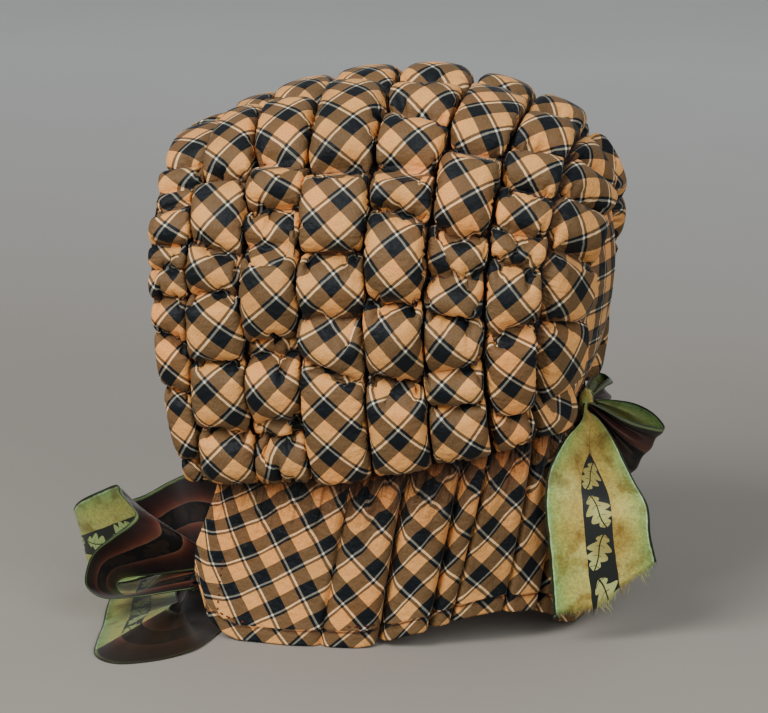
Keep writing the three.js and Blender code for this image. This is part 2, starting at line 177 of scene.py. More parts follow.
BOW_LOOP_RIGHT = [
    ((-7.6, 103.8, 119), (-7.6, 103.8, 116)),
    ((-18, 107, 121), (-18, 106, 106)),
    ((-30, 110, 122), (-30, 107, 92)),
    ((-42, 110, 120), (-42, 107, 84)),
    ((-54, 106, 119), (-52, 104, 80)),
    ((-53, 101, 120), (-51, 100, 84)),
    ((-36, 102, 121), (-36, 101, 95)),
    ((-8, 101.6, 118.5), (-8, 101.6, 116)),
]
KNOT_CENTRE = (1, 103.2, 117.5)
KNOT_SIZE = (16, 8, 14)

PLAID_REPEAT = 19.0
RIBBON_WIDTH = 54.0
SCREEN_GAMMA = 2.2

# Where the hood's own frame lies in the frame of the solids
knot_low, knot_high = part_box("bow_knot")
knot_middle = [(low + high) / 2 / MM for low, high in zip(knot_low, knot_high)]
SHIFT = np.array([knot_middle[0] - KNOT_CENTRE[0], knot_middle[1] - KNOT_CENTRE[1], 0.0])


def placed(points):
    return (np.asarray(points, float) + SHIFT) * MM


# Geometry helpers


def unit(v):
    return v / np.maximum(np.linalg.norm(v, axis=-1, keepdims=True), 1e-9)


def seam_at(place):
    """The columns of SEAMS at a place across the rolls, which is 0 at the first seam and 1 at the next."""
    place = np.asarray(place, float)
    first = np.minimum(place.astype(int), len(SEAMS) - 2)
    t = (place - first)[..., None]
    return np.moveaxis(SEAMS[first] * (1 - t) + SEAMS[first + 1] * t, -1, 0)


def arch_point(place, way, inset=0.0):
    """The point at a place across the rolls and a way from -1 at the right of the neck to 1 at the left."""
    place, way = np.broadcast_arrays(place, way)
    y_neck, y_ear, y_top, half, half_neck, top, neck = seam_at(place)
    t = np.abs(way)
    e = EAR_SHARE
    y = y_top * (t - e) * (t - 1) / e
    y = y + y_ear * t * (t - 1) / (e * (e - 1)) + y_neck * t * (t - e) / (1 - e)
    angle = np.minimum(t / e, 1) * math.pi / 2
    fall = np.maximum(0, (t - e) / (1 - e))
    x = (half - inset) * np.sin(angle) - (half - half_neck) * fall**2
    z = EAR_HEIGHT + (top - inset - EAR_HEIGHT) * np.cos(angle) + (neck - EAR_HEIGHT) * fall
    return np.stack([np.where(way < 0, -x, x), y, z], axis=-1)


def dome(t, power):
    """A rounded rise from 0 to 1 and back, for t from 0 to 1."""
    return np.sqrt(np.maximum(0, 1 - np.abs(2 * t - 1) ** power))


def places_of(steps):
    """Places along a line, from 0, that lie the given steps apart."""
    return np.concatenate([[0], np.cumsum(steps)])


def pairs_of(a, b):
    return np.stack(np.meshgrid(a, b, indexing="ij"), axis=-1)


def from_ends(index, count):
    """How many places an index out of count lies from the nearer end."""
    return np.minimum(index, count - 1 - index)


def grid_faces(rows, columns):
    index = np.arange(rows * columns).reshape(rows, columns)
    corners = [index[:-1, :-1], index[:-1, 1:], index[1:, 1:], index[1:, :-1]]
    return np.stack(corners, axis=-1).reshape(-1, 4)


def closed_sheet(outer, inner):
    """Points and faces of a cloth with two sides: the outer side's faces, the inner side's and the rim's."""
    rows, columns = outer.shape[:2]
    count = rows * columns
    index = np.arange(count).reshape(rows, columns)
    faces = grid_faces(rows, columns)
    rim = np.concatenate([index[0, :-1], index[:-1, -1], index[-1, :0:-1], index[:0:-1, 0]])
    after = np.roll(rim, -1)
    closing = np.stack([rim, after, after + count, rim + count], axis=-1)
    points = np.concatenate([outer.reshape(-1, 3), inner.reshape(-1, 3)])
    return points, np.concatenate([faces[:, ::-1], faces + count, closing])


def make_piece(name, points, faces, materials, uv=None, face_material=None, values=None):
    """A smooth mesh object. uv has one pair for each face corner; values are named numbers for each point."""
    points = placed(points)
    faces = np.asarray(faces, int)
    mesh = bpy.data.meshes.new(name)
    mesh.vertices.add(len(points))
    mesh.vertices.foreach_set("co", points.astype(np.float32).ravel())
    mesh.loops.add(faces.size)
    mesh.loops.foreach_set("vertex_index", faces.ravel())
    mesh.polygons.add(len(faces))
    mesh.polygons.foreach_set("loop_start", np.arange(len(faces)) * faces.shape[1])
    mesh.polygons.foreach_set("use_smooth", np.ones(len(faces), bool))
    if face_material is not None:
        mesh.polygons.foreach_set("material_index", np.asarray(face_material, int))
    mesh.update(calc_edges=True)
    if uv is not None:
        layer = mesh.uv_layers.new(name="cloth")
        layer.data.foreach_set("uv", np.asarray(uv, np.float32).ravel())
    for key, numbers in (values or {}).items():
        attribute = mesh.attributes.new(key, "FLOAT", "POINT")
        attribute.data.foreach_set("value", np.asarray(numbers, np.float32).ravel())
    for material in materials:
        mesh.materials.append(material)
    piece = bpy.data.objects.new(name, mesh)
    bpy.context.collection.objects.link(piece)
    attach(piece, "root")
    return piece


# Cloth that is relaxed on a grid of points: threads keep their length, and guard() keeps points in bounds


def spring(a, b, rest, stiffness, only_apart=False):
    gap = b - a
    length = np.sqrt(np.einsum("...k,...k->...", gap, gap))[..., None]
    error = 1 - rest / np.maximum(length, 1e-6)
    if only_apart:
        error = np.minimum(error, 0)
    gap *= 0.5 * stiffness * error
    a += gap
    b -= gap


def relax(x, along, across, steps, swelling, guard, shear=0.35, bend=0.08, damping=0.9):
    """Moves x: sheet, row, column, xyz. along and across are the rest lengths between rows and columns."""
    last = x.copy()
    diagonal = np.sqrt(along[:, :, :-1] ** 2 + across[:, :-1] ** 2)
    # Views of the same points, with their rows or their columns on the second axis
    both_ways = (x, along), (x.swapaxes(1, 2), across.swapaxes(1, 2))
    for _ in range(steps):
        speed = (x - last) * damping
        last = x.copy()
        outward = np.zeros_like(x)
        over_rows = x[:, 2:, 1:-1] - x[:, :-2, 1:-1]
        over_columns = x[:, 1:-1, 2:] - x[:, 1:-1, :-2]
        outward[:, 1:-1, 1:-1] = unit(np.cross(over_rows, over_columns))
        x += speed + outward * swelling
        for _ in range(2):
            for s in (0, 1):
                for grid, rest in both_ways:
                    spring(grid[:, s:-1:2], grid[:, s + 1 :: 2], rest[:, s::2], 1.0)
                spring(x[:, s:-1:2, :-1], x[:, s + 1 :: 2, 1:], diagonal[:, s::2], shear)
                spring(x[:, s:-1:2, 1:], x[:, s + 1 :: 2, :-1], diagonal[:, s::2], shear)
            for s in range(4):
                for grid, rest in both_ways:
                    far = grid[:, s + 2 :: 4]
                    near = grid[:, s::4][:, : far.shape[1]]
                    double = (rest[:, :-1] + rest[:, 1:])[:, s::4][:, : far.shape[1]]
                    spring(near, far, 0.92 * double, bend, only_apart=True)
            guard(x)


def stay_beyond(x, normal, level, sign):
    over = np.einsum("...k,...k->...", x, normal) - level
    over = np.minimum(over, 0) if sign > 0 else np.maximum(over, 0)
    x -= over[..., None] * normal


# Materials


class Wires:
    """Small helpers that add shader nodes and return their outputs."""

    def __init__(self, name):
        self.material = bpy.data.materials.new(name)
        self.material.use_nodes = True
        self.tree = self.material.node_tree
        self.shader = self.tree.nodes["Principled BSDF"]

    def put(self, socket, value):
        if isinstance(value, bpy.types.NodeSocket):
            self.tree.links.new(value, socket)
        else:
            socket.default_value = value

    def math(self, operation, *values):
        node = self.tree.nodes.new("ShaderNodeMath")
        node.operation = operation
        for socket, value in zip(node.inputs, values):
            self.put(socket, value)
        return node.outputs[0]

    def times(self, a, b):
        return self.math("MULTIPLY", a, b)

    def times_plus(self, a, b, c):
        return self.math("MULTIPLY_ADD", a, b, c)

    def wave(self, place, length):
        """A sine along place, with the given length from crest to crest."""
        return self.math("SINE", self.times(place, 2 * math.pi / length))

    def mix(self, factor, a, b, blend="MIX"):
        node = self.tree.nodes.new("ShaderNodeMix")
        node.data_type = "RGBA"
        node.blend_type = blend
        self.put(node.inputs[0], factor)
        for socket, colour in ((node.inputs[6], a), (node.inputs[7], b)):
            self.put(socket, (*colour, 1) if isinstance(colour, tuple) else colour)
        return node.outputs[2]

    def tint(self, colour, by):
        return self.mix(1.0, colour, by, "MULTIPLY")

    def ramp(self, factor, stops, interpolation="LINEAR"):
        node = self.tree.nodes.new("ShaderNodeValToRGB")
        node.color_ramp.interpolation = interpolation
        elements = node.color_ramp.elements
        while len(elements) < len(stops):
            elements.new(1.0)
        for element, (place, colour) in zip(elements, stops):
            element.position = place
            element.color = (*colour, 1)
        self.put(node.inputs[0], factor)
        return node.outputs[0]

    def noise(self, scale, detail, vector=None):
        """Noise in the object's own space, or in that of a given vector."""
        node = self.tree.nodes.new("ShaderNodeTexNoise")
        self.put(node.inputs["Vector"], self.object_place() if vector is None else vector)
        node.inputs["Scale"].default_value = scale
        node.inputs["Detail"].default_value = detail
        return node.outputs["Fac"]

    def greys(self, factor, low, high):
        """A ramp from one grey to another, for threads that are darker or lighter than others."""
        return self.ramp(factor, [(0.35, (low,) * 3), (0.65, (high,) * 3)])

    def cloth_place(self):
        node = self.tree.nodes.new("ShaderNodeUVMap")
        node.uv_map = "cloth"
        return node.outputs[0], *self.parts(node.outputs[0])[:2]

    def parts(self, vector):
        split = self.tree.nodes.new("ShaderNodeSeparateXYZ")
        self.put(split.inputs[0], vector)
        return list(split.outputs)

    def value(self, name):
        node = self.tree.nodes.new("ShaderNodeAttribute")
        node.attribute_name = name
        return node.outputs["Fac"]

    def object_place(self):
        return self.tree.nodes.new("ShaderNodeTexCoord").outputs["Object"]

    def bump(self, height, strength, distance, below=None):
        node = self.tree.nodes.new("ShaderNodeBump")
        node.inputs["Strength"].default_value = strength
        node.inputs["Distance"].default_value = distance
        self.put(node.inputs["Height"], height)
        if below is not None:
            self.put(node.inputs["Normal"], below)
        return node.outputs[0]

    def finish(self, colour, roughness, sheen, normal=None):
        """The finished material. colour is as a screen shows it, so it is turned into linear light here."""
        gamma = self.tree.nodes.new("ShaderNodeGamma")
        self.put(gamma.inputs[0], colour)
        gamma.inputs[1].default_value = SCREEN_GAMMA
        self.put(self.shader.inputs["Base Color"], gamma.outputs[0])
        self.put(self.shader.inputs["Roughness"], roughness)
        self.shader.inputs["Sheen Weight"].default_value = sheen
        self.shader.inputs["Sheen Roughness"].default_value = 0.4
        self.shader.inputs["Specular IOR Level"].default_value = 0.25
        if normal is not None:
            self.put(self.shader.inputs["Normal"], normal)
        return self.material


def screen(red, green, blue):
    """A colour as it is read off a screen, from 0 to 255."""
    return (red / 255, green / 255, blue / 255)


PEACH = screen(233, 166, 95)
BLACK = screen(10, 19, 25)
WHITE = screen(252, 241, 212)

# Where, as shares of the repeat, white turns to black, black to peach and peach to black again
WARP_TURNS = (0.052, 0.46, 0.92)
WEFT_TURNS = (0.056, 0.455, 0.925)

LEAF_BAND = 7.4  # half the width of the band of leaves along the ribbon's middle
LEAF_STEP = 21.0  # from leaf to leaf
LEAF_LENGTH = 18.8
LEAF_WIDTH = 14.0
LEAF_LEAN = 0.42
RIB_STEP = 0.8  # of the ribbon's fine cross ribs


def weave(wires, across, along, size):
    """A plain weave's over and under, as a number from 0 to 1."""
    return wires.times_plus(wires.times(wires.wave(across, size), wires.wave(along, size)), 0.5, 0.5)


def plaid_stripe(wires, place, turns):
    """The colour of one set of threads. place counts millimetres across them."""
    phase = wires.math("FRACT", wires.math("DIVIDE", place, PLAID_REPEAT))
    return wires.ramp(phase, list(zip((0.0, *turns), (WHITE, BLACK, PEACH, BLACK))), "CONSTANT")


def aged_and_shaded(wires, colour, tucked_and_shaded):
    """Cloth tucked into the creases has kept a warmer colour, and painted shade darkens it towards near black
    at the bottom of the creases.
    """
    fresh = wires.times(tucked_and_shaded, wires.times_plus(wires.noise(90.0, 2.0), 1.6, -0.1))
    colour = wires.tint(colour, wires.mix(fresh, (1, 1, 1), (0.94, 0.68, 0.63)))
    # Painted shade: the lowest cloth in the creases is mixed towards a near-black brown.
    deep = wires.times(wires.math("POWER", tucked_and_shaded, 1.7), 0.95)
    colour = wires.mix(deep, colour, screen(24, 18, 18))
    faded = [(0.3, (0.88, 0.86, 0.83)), (0.5, (1.0, 1.0, 1.0)), (0.72, (1.06, 0.98, 0.92))]
    return wires.tint(colour, wires.ramp(wires.noise(28.0, 3.0), faded))


def crumpled(wires, tucked_and_shaded):
    """Small crumples, deeper beside the creases, and puckers that run out from the seams."""
    crumple = wires.times(wires.noise(260.0, 2.0), wires.times_plus(tucked_and_shaded, 1.1, 0.35))
    from_seam = wires.value("from_seam")
    gathered = wires.tree.nodes.new("ShaderNodeCombineXYZ")
    wires.put(gathered.inputs[0], wires.times(wires.value("along_seam"), 0.36))
    wires.put(gathered.inputs[1], wires.times(from_seam, 0.06))
    pucker = wires.noise(1.0, 2.0, gathered.outputs[0])
    fading = wires.math("POWER", 0.86, from_seam)
    return wires.times_plus(wires.times(pucker, fading), 2.2, crumple)


def plaid_material():
    wires = Wires("plaid_silk")
    place, across, along = wires.cloth_place()
    tucked_and_shaded = wires.value("tucked_and_shaded")
    warp = plaid_stripe(wires, across, WARP_TURNS)
    weft = plaid_stripe(wires, along, WEFT_TURNS)
    threads = weave(wires, across, along, 0.9)
    colour = wires.mix(wires.times_plus(threads, 0.24, 0.38), warp, weft)
    colour = wires.mix(0.1, colour, wires.mix(1.0, warp, weft, "DARKEN"))
    colour = aged_and_shaded(wires, colour, tucked_and_shaded)
    # Threads that are thicker or thinner than others show as a fine grain
    slub = wires.noise(1.6, 3.0, place)
    colour = wires.tint(colour, wires.greys(slub, 0.9, 1.08))
    normal = wires.bump(crumpled(wires, tucked_and_shaded), 0.9, 0.0034)
    normal = wires.bump(wires.times_plus(slub, 0.6, threads), 0.25, 0.00012, normal)
    return wires.finish(colour, wires.times_plus(slub, 0.15, 0.52), 0.06, normal)


def lining_material():
    wires = Wires("lining_cotton")
    across, along = wires.cloth_place()[1:]
    browns = [(0.3, screen(120, 88, 62)), (0.6, screen(146, 110, 80)), (0.8, screen(158, 122, 92))]
    colour = wires.ramp(wires.noise(18.0, 4.0), browns)
    return wires.finish(colour, 0.85, 0.1, wires.bump(weave(wires, across, along, 0.9), 0.3, 0.0002))


def thread_material():
    wires = Wires("sewing_thread")
    browns = [(0.3, screen(74, 30, 20)), (0.7, screen(110, 50, 32))]
    return wires.finish(wires.ramp(wires.noise(600.0, 1.0), browns), 0.7, 0.1)


def leaf_mask(wires, across, along):
    """Masks of oak leaves that lean to the left and right in turn, and of their veins."""
    cell = wires.math("DIVIDE", along, LEAF_STEP)
    odd = wires.math("MODULO", wires.math("ABSOLUTE", wires.math("FLOOR", cell)), 2.0)
    side = wires.times_plus(odd, 2.0, -1.0)
    dy = wires.times(wires.math("SUBTRACT", wires.math("FRACT", cell), 0.5), LEAF_STEP)
    dx = wires.math("SUBTRACT", wires.times(across, side), 0.9)
    # p runs along the leaf, and q is how far a point lies from the midrib
    p = wires.times_plus(dx, math.sin(LEAF_LEAN), wires.times(dy, math.cos(LEAF_LEAN)))
    leaning = wires.times_plus(dy, -math.sin(LEAF_LEAN), wires.times(dx, math.cos(LEAF_LEAN)))
    q = wires.math("ABSOLUTE", leaning)
    outline = wires.math("SINE", wires.times(wires.times_plus(p, 1 / LEAF_LENGTH, 0.5), math.pi))
    outline = wires.math("POWER", wires.math("MAXIMUM", outline, 0.0001), 0.7)
    # The lobes point forward, so their line is drawn back with the distance from the midrib
    lobe_angle = wires.times_plus(wires.times_plus(q, -0.35, p), 0.6, 0.5)
    lobes = wires.math("ABSOLUTE", wires.math("SINE", lobe_angle))
    reach = wires.times_plus(lobes, 0.55 * LEAF_WIDTH / 2, 0.45 * LEAF_WIDTH / 2)
    inside = wires.math("LESS_THAN", q, wires.times(outline, reach))
    # The midrib is bent, and shows as a dark line with a few short ribs
    bent = wires.times_plus(wires.math("SINE", wires.times(p, 0.3)), 0.8, leaning)
    midrib = wires.math("LESS_THAN", wires.math("ABSOLUTE", bent), 0.36)
    ribs = wires.math("LESS_THAN", wires.math("ABSOLUTE", wires.math("COSINE", lobe_angle)), 0.09)
    ribs = wires.times(ribs, wires.math("LESS_THAN", q, 2.6))
    return inside, wires.times(wires.math("MAXIMUM", midrib, ribs), inside)


def ribbon_base(name):
    """Wires, the places across and along the ribbon, a little wavering, and the distance from its middle."""
    wires = Wires(name)
    across, along = wires.cloth_place()[1:]
    across = wires.math("ADD", across, wires.times_plus(wires.noise(160.0, 1.0), 0.8, -0.4))
    return wires, across, along, wires.math("ABSOLUTE", across)


def ribbon_green():
    """The leafy face: a tan field that turns green towards a dark edge, and a dark band of leaves."""
    wires, across, along, out = ribbon_base("ribbon_green")
    field = wires.ramp(
        wires.math("DIVIDE", out, RIBBON_WIDTH / 2),
        [
            (0.28, screen(198, 186, 112)),
            (0.55, screen(186, 181, 107)),
            (0.8, screen(160, 174, 102)),
            (0.92, screen(140, 172, 110)),
            (0.945, screen(196, 222, 174)),
            (0.968, screen(22, 34, 26)),
            (0.99, screen(40, 58, 40)),
        ],
    )
    broad = [(0.36, (0.84, 0.75, 0.62)), (0.48, (1.0, 0.98, 0.9)), (0.66, (0.94, 1.02, 0.96))]
    fine = [(0.34, (0.8, 0.73, 0.64)), (0.48, (1.0, 1.0, 1.0)), (0.7, (1.08, 1.06, 1.0))]
    stain = wires.ramp(wires.noise(22.0, 3.0), broad)
    field = wires.tint(field, stain)
    field = wires.tint(field, wires.ramp(wires.noise(95.0, 4.0), fine))
    field = wires.tint(field, wires.greys(wires.noise(700.0, 3.0), 0.9, 1.08))
    ground = wires.mix(weave(wires, across, along, 1.1), screen(26, 28, 28), screen(52, 56, 52))
    leaf, vein = leaf_mask(wires, across, along)
    leaf_colour = wires.tint(wires.mix(vein, screen(186, 192, 130), screen(34, 40, 32)), stain)
    band = wires.mix(leaf, ground, leaf_colour)
    colour = wires.mix(wires.math("LESS_THAN", out, LEAF_BAND), field, band)
    # Painted shade: the face is mixed towards dark olive where the ribbon lies in shade.
    colour = wires.mix(wires.value("painted_shade"), colour, screen(34, 44, 26))
    height = wires.times_plus(leaf, 0.6, wires.times(wires.wave(along, RIB_STEP), 0.5))
    return wires.finish(colour, 0.42, 0.15, wires.bump(height, 0.3, 0.00012))


def ribbon_coral():
    """The striped face: green edge, purple-brown shading to coral, a pale line and a black middle."""
    wires, across, along, out = ribbon_base("ribbon_coral")
    colour = wires.ramp(
        wires.math("DIVIDE", out, RIBBON_WIDTH / 2),
        [
            (0.0, screen(18, 16, 19)),
            (0.27, screen(20, 17, 20)),
            (0.278, screen(138, 108, 86)),
            (0.296, screen(138, 84, 66)),
            (0.36, screen(116, 62, 50)),
            (0.5, screen(76, 42, 37)),
            (0.66, screen(54, 34, 34)),
            (0.86, screen(42, 32, 33)),
            (0.9, screen(40, 40, 34)),
            (0.925, screen(116, 144, 92)),
            (0.968, screen(140, 166, 110)),
            (0.985, screen(36, 52, 36)),
        ],
    )
    leaf = wires.times(leaf_mask(wires, across, along)[0], wires.math("LESS_THAN", out, LEAF_BAND - 0.1))
    colour = wires.mix(wires.times(leaf, 0.22), colour, screen(150, 104, 78))
    worn = [(0.3, (0.8, 0.8, 0.82)), (0.55, (1.0, 1.0, 1.0)), (0.8, (1.15, 1.1, 1.05))]
    colour = wires.tint(colour, wires.ramp(wires.noise(60.0, 3.0), worn))
    # Painted shade: the face is mixed towards dark brown where the ribbon lies in shade.
    colour = wires.mix(wires.value("painted_shade"), colour, screen(38, 32, 24))
    return wires.finish(colour, 0.38, 0.15, wires.bump(wires.wave(along, RIB_STEP), 0.25, 0.0001))


# The quilted crown

CLOTH_ROWS = 325  # along each roll
CLOTH_COLUMNS = 26  # across each roll
FULLNESS = 1.8  # added to the height of each roll
SLACK_ALONG = 1.26  # cloth for each millimetre of a roll's crest
SLACK_ACROSS = 1.09  # cloth for each millimetre of the curve over a roll
SWELLING = 0.06  # how far the wadding pushes the cloth out in each step
CREASE_GAP = 0.15  # from a crease's plane to the cloth on either side
PLAID_BLEND = 0.16  # the share of a puff, beside a crease, where its plaid passes over to the next puff's
SHADE_PLACE = 4.0  # across and along the plaid, where it is black
HEM_PLACES = [0.0, 1.5, 3.0, 8.0]  # of the rows of a turned-in hem, across it
HEM_SHADE = 0.4
BETWEEN_ROLLS = 173.0  # added to the places along each roll, so that no two rolls pucker alike
VALLEY_GAP = 0.4  # from a seam to the side of a full puff
CORNER_GAP = 3.6  # further from the seam at the ends of a puff
SMOOTH = 60.0  # so far from a seam that no puckers reach
VALLEY_WANDER = 2.2  # how far a full puff pushes a seam aside where its neighbour has a crease


def creases_of(index):
    """A roll's creases and two ends, from right to left of the neck: ways in front and behind, and droop."""
    right = [(-front, -back, -droop) for front, back, droop in CREASES[ROLL_TWINS[index]]]
    percent = [(-100, -100, 0)] + right[::-1] + [TOP_CREASES[index]] + CREASES[index] + [(100, 100, 0)]
    return np.array(percent) / 100


def valley_line(seam, ways):
    """The seam between two rolls, pushed from side to side by the puffs that are full there."""
    line = arch_point(float(seam), ways)
    if seam in (0, len(ROLL_HEIGHTS)):
        return line
    full = []
    for index, edge in ((seam - 1, 1), (seam, 0)):
        ends = creases_of(index)[:, edge]
        puff = np.clip(np.searchsorted(ends, ways, side="right") - 1, 0, len(ends) - 2)
        full.append(dome((ways - ends[puff]) / (ends[puff + 1] - ends[puff]), 2))
    softening = np.hanning(13)[1:-1] / 6
    push = np.convolve(np.pad(full[0] - full[1], 5, mode="edge"), softening, mode="valid")
    side = unit(arch_point(seam + 0.5, ways) - arch_point(seam - 0.5, ways))
    return line + side * (VALLEY_WANDER * push * np.minimum(1, (1 - np.abs(ways)) / 0.06))[:, None]


def roll_cloth(index):
    """One roll's cloth before it is relaxed, with its rest lengths and the planes that bound each puff."""
    ways = np.linspace(-1, 1, CLOTH_ROWS + 1)
    u = np.linspace(0, 1, CLOTH_COLUMNS + 1)
    front = valley_line(index, ways)
    back = valley_line(index + 1, ways)
    middle = (arch_point(float(index), ways) + arch_point(float(index + 1), ways)) / 2
    side = unit(back - front)
    width = np.linalg.norm(back - front, axis=-1)
    run = np.gradient(middle, axis=0)
    normal = unit(np.cross(run, side))
    height = ROLL_HEIGHTS[index] + FULLNESS
    base = front[:, None] + (back - front)[:, None] * u[None, :, None]
    base_level = np.einsum("ijk,ik->ij", base, normal)

    # Crease lines, and the puff that each point belongs to
    creases = creases_of(index)
    first, last, droop = creases.T[..., None]
    lines = first + (last - first) * u + droop * np.sin(math.pi * u)
    sides = np.sign(creases[:, 0] + creases[:, 1])
    columns = np.arange(CLOTH_COLUMNS + 1)[None]
    puff = np.clip((ways[:, None, None] >= lines.T[None]).sum(-1) - 1, 0, len(creases) - 2)
    low, high = lines[puff, columns], lines[puff + 1, columns]
    t = np.clip((ways[:, None] - low) / (high - low), 0, 1)
    swell = dome(t, 2.4)
    arc = dome(u, 2.05)[None]
    drawn = np.minimum(1, (1 - np.abs(ways)) / 0.02)[:, None]
    # A crease is deep, but some run out before they reach the other seam
    deep = rng.uniform(0.03, 0.18, len(creases))
    runs_out = rng.choice([0.0, 0.0, 0.0, 0.45, 0.6], len(creases))
    from_back = rng.integers(0, 2, len(creases))
    shares = np.array([d + r * (u if f else 1 - u) ** 2 for d, r, f in zip(deep, runs_out, from_back)])
    share = shares[puff, columns] * (1 - t) + shares[puff + 1, columns] * t
    full = rng.uniform(0.9, 1.08, len(creases))[puff]
    lift = height * full * arc * (share + (1 - share) * swell) * drawn

    x = base + normal[:, None] * (0.6 + lift)[..., None]
    x += side[:, None] * (VALLEY_GAP * (1 - 2 * u))[None, :, None]
    x += rng.normal(0, 0.15, x.shape)

    crest = middle + normal * height * 0.8
    along = np.linalg.norm(np.diff(crest, axis=0), axis=-1) * SLACK_ALONG
    half = width / 2
    # The length of half an ellipse, as wide as the roll
    curve = math.pi * (3 * (half + height) - np.sqrt((3 * half + height) * (half + 3 * height))) / 2
    across = curve * SLACK_ACROSS / CLOTH_COLUMNS

    # Planes across the roll through each crease, looking along the roll
    def beside_creases(rows):
        return np.stack([np.interp(lines.mean(axis=1), ways, row) for row in rows.T], axis=-1)

    crease_normal, crease_run = beside_creases(normal), beside_creases(run)
    # Most creases lean, so that the puff above hangs over the one below
    lean = rng.uniform(0.0, 1.3, len(creases)) * sides
    lean[[0, -1]] = 0
    crease_normal = unit(crease_normal + lean[:, None] * unit(crease_run))
    ends = arch_point(float(index), lines[:, 0]), arch_point(float(index + 1), lines[:, -1])
    plane = unit(np.cross(ends[1] - ends[0], crease_normal))
    plane *= np.sign((plane * crease_run).sum(-1))[:, None]
    on_line = arch_point(index + np.broadcast_to(u, lines.shape), lines)
    level = np.einsum("kjm,km->kj", on_line, plane)

    ceiling = base_level + 1.06 * (0.8 + height * full * arc**0.85 * (share + (1 - share) * swell**0.8))
    rows_of = np.rint((lines + 1) / 2 * CLOTH_ROWS).astype(int)
    for k in range(1, len(creases) - 1):
        at = rows_of[k], columns[0]
        ceiling[at] = base_level[at] + 0.8 + shares[k] * height * (0.3 + 0.7 * arc[0])
    pinched = CORNER_GAP * (1 - swell) ** 1.6
    return {
        "x": x,
        "along": np.repeat(along[:, None], CLOTH_COLUMNS + 1, axis=1),
        "across": np.repeat(across[:, None], CLOTH_COLUMNS, axis=1),
        "normal": np.broadcast_to(normal[:, None], x.shape),
        "side": np.broadcast_to(side[:, None], x.shape),
        "front": np.einsum("ik,ik->i", front, side)[:, None] + VALLEY_GAP + pinched,
        "back": np.einsum("ik,ik->i", back, side)[:, None] - VALLEY_GAP - pinched,
        "floor": base_level + 0.2,
        "ceiling": ceiling,
        "low_plane": plane[puff],
        "low_level": level[puff, columns] + CREASE_GAP,
        "high_plane": plane[puff + 1],
        "high_level": level[puff + 1, columns] - CREASE_GAP,
        "puff": puff,
        "through": t,
        "lift": lift / height,
    }


def relaxed_rolls():
    rolls = [roll_cloth(index) for index in range(len(ROLL_HEIGHTS))]
    cloth = {key: np.stack([roll[key] for roll in rolls]) for key in rolls[0]}
    for key in cloth:
        if key != "puff":
            cloth[key] = cloth[key].astype(np.float32)
    pinned = cloth["x"].copy()

    def guard(x):
        for low, low_level, high, high_level in (
            ("side", "front", "side", "back"),
            ("low_plane", "low_level", "high_plane", "high_level"),
            ("normal", "floor", "normal", "ceiling"),
        ):
            stay_beyond(x, cloth[low], cloth[low_level], 1)
            stay_beyond(x, cloth[high], cloth[high_level], -1)
        for edge in (np.s_[:, :, 0], np.s_[:, :, -1], np.s_[:, 0], np.s_[:, -1]):
            x[edge] = pinned[edge]

    steps = 220
    relax(cloth["x"], cloth["along"][..., None], cloth["across"][..., None], steps, SWELLING, guard)
    return cloth


def crown_uv(cloth, faces):
    """Plaid places for each face corner. In the creases, the cloth turns and slips a little."""
    pairs = []
    for index in range(len(ROLL_HEIGHTS)):
        along = places_of(cloth["along"][index][:, 0])
        across = np.arange(CLOTH_COLUMNS + 1) * cloth["across"][index].mean()
        places = pairs_of(along, across)
        puff = cloth["puff"][index]
        count = puff.max() + 1
        turns = math.pi / 4 + rng.normal(0, 0.1, count)
        slips = rng.uniform(-3, 3, (count, 2))
        centres = np.array([places[puff == k].mean(axis=0) for k in range(count)])

        def turned(points, k):
            c, s = np.cos(turns[k]), np.sin(turns[k])
            x, y = np.moveaxis(points - centres[k], -1, 0)
            return np.stack([x * c - y * s, x * s + y * c], axis=-1)

        offsets = [rng.uniform(0, PLAID_REPEAT, 2)]
        for k in range(1, count):
            crease = (places[puff == k].min(axis=0) + places[puff == k - 1].max(axis=0)) / 2
            met = turned(crease, k - 1) + offsets[k - 1]
            offsets.append(met - turned(crease, k) + slips[k])
        offsets = np.array(offsets)
        t = cloth["through"][index]
        beside = np.clip(puff + np.where(t > 0.5, 1, -1), 0, count - 1)
        share = 0.5 * np.clip(1 - np.minimum(t, 1 - t) / PLAID_BLEND, 0, 1)[..., None]
        place = (turned(places, puff) + offsets[puff]) * (1 - share)
        place += (turned(places, beside) + offsets[beside]) * share
        pairs.append(place.reshape(-1, 2)[faces])
    return pairs


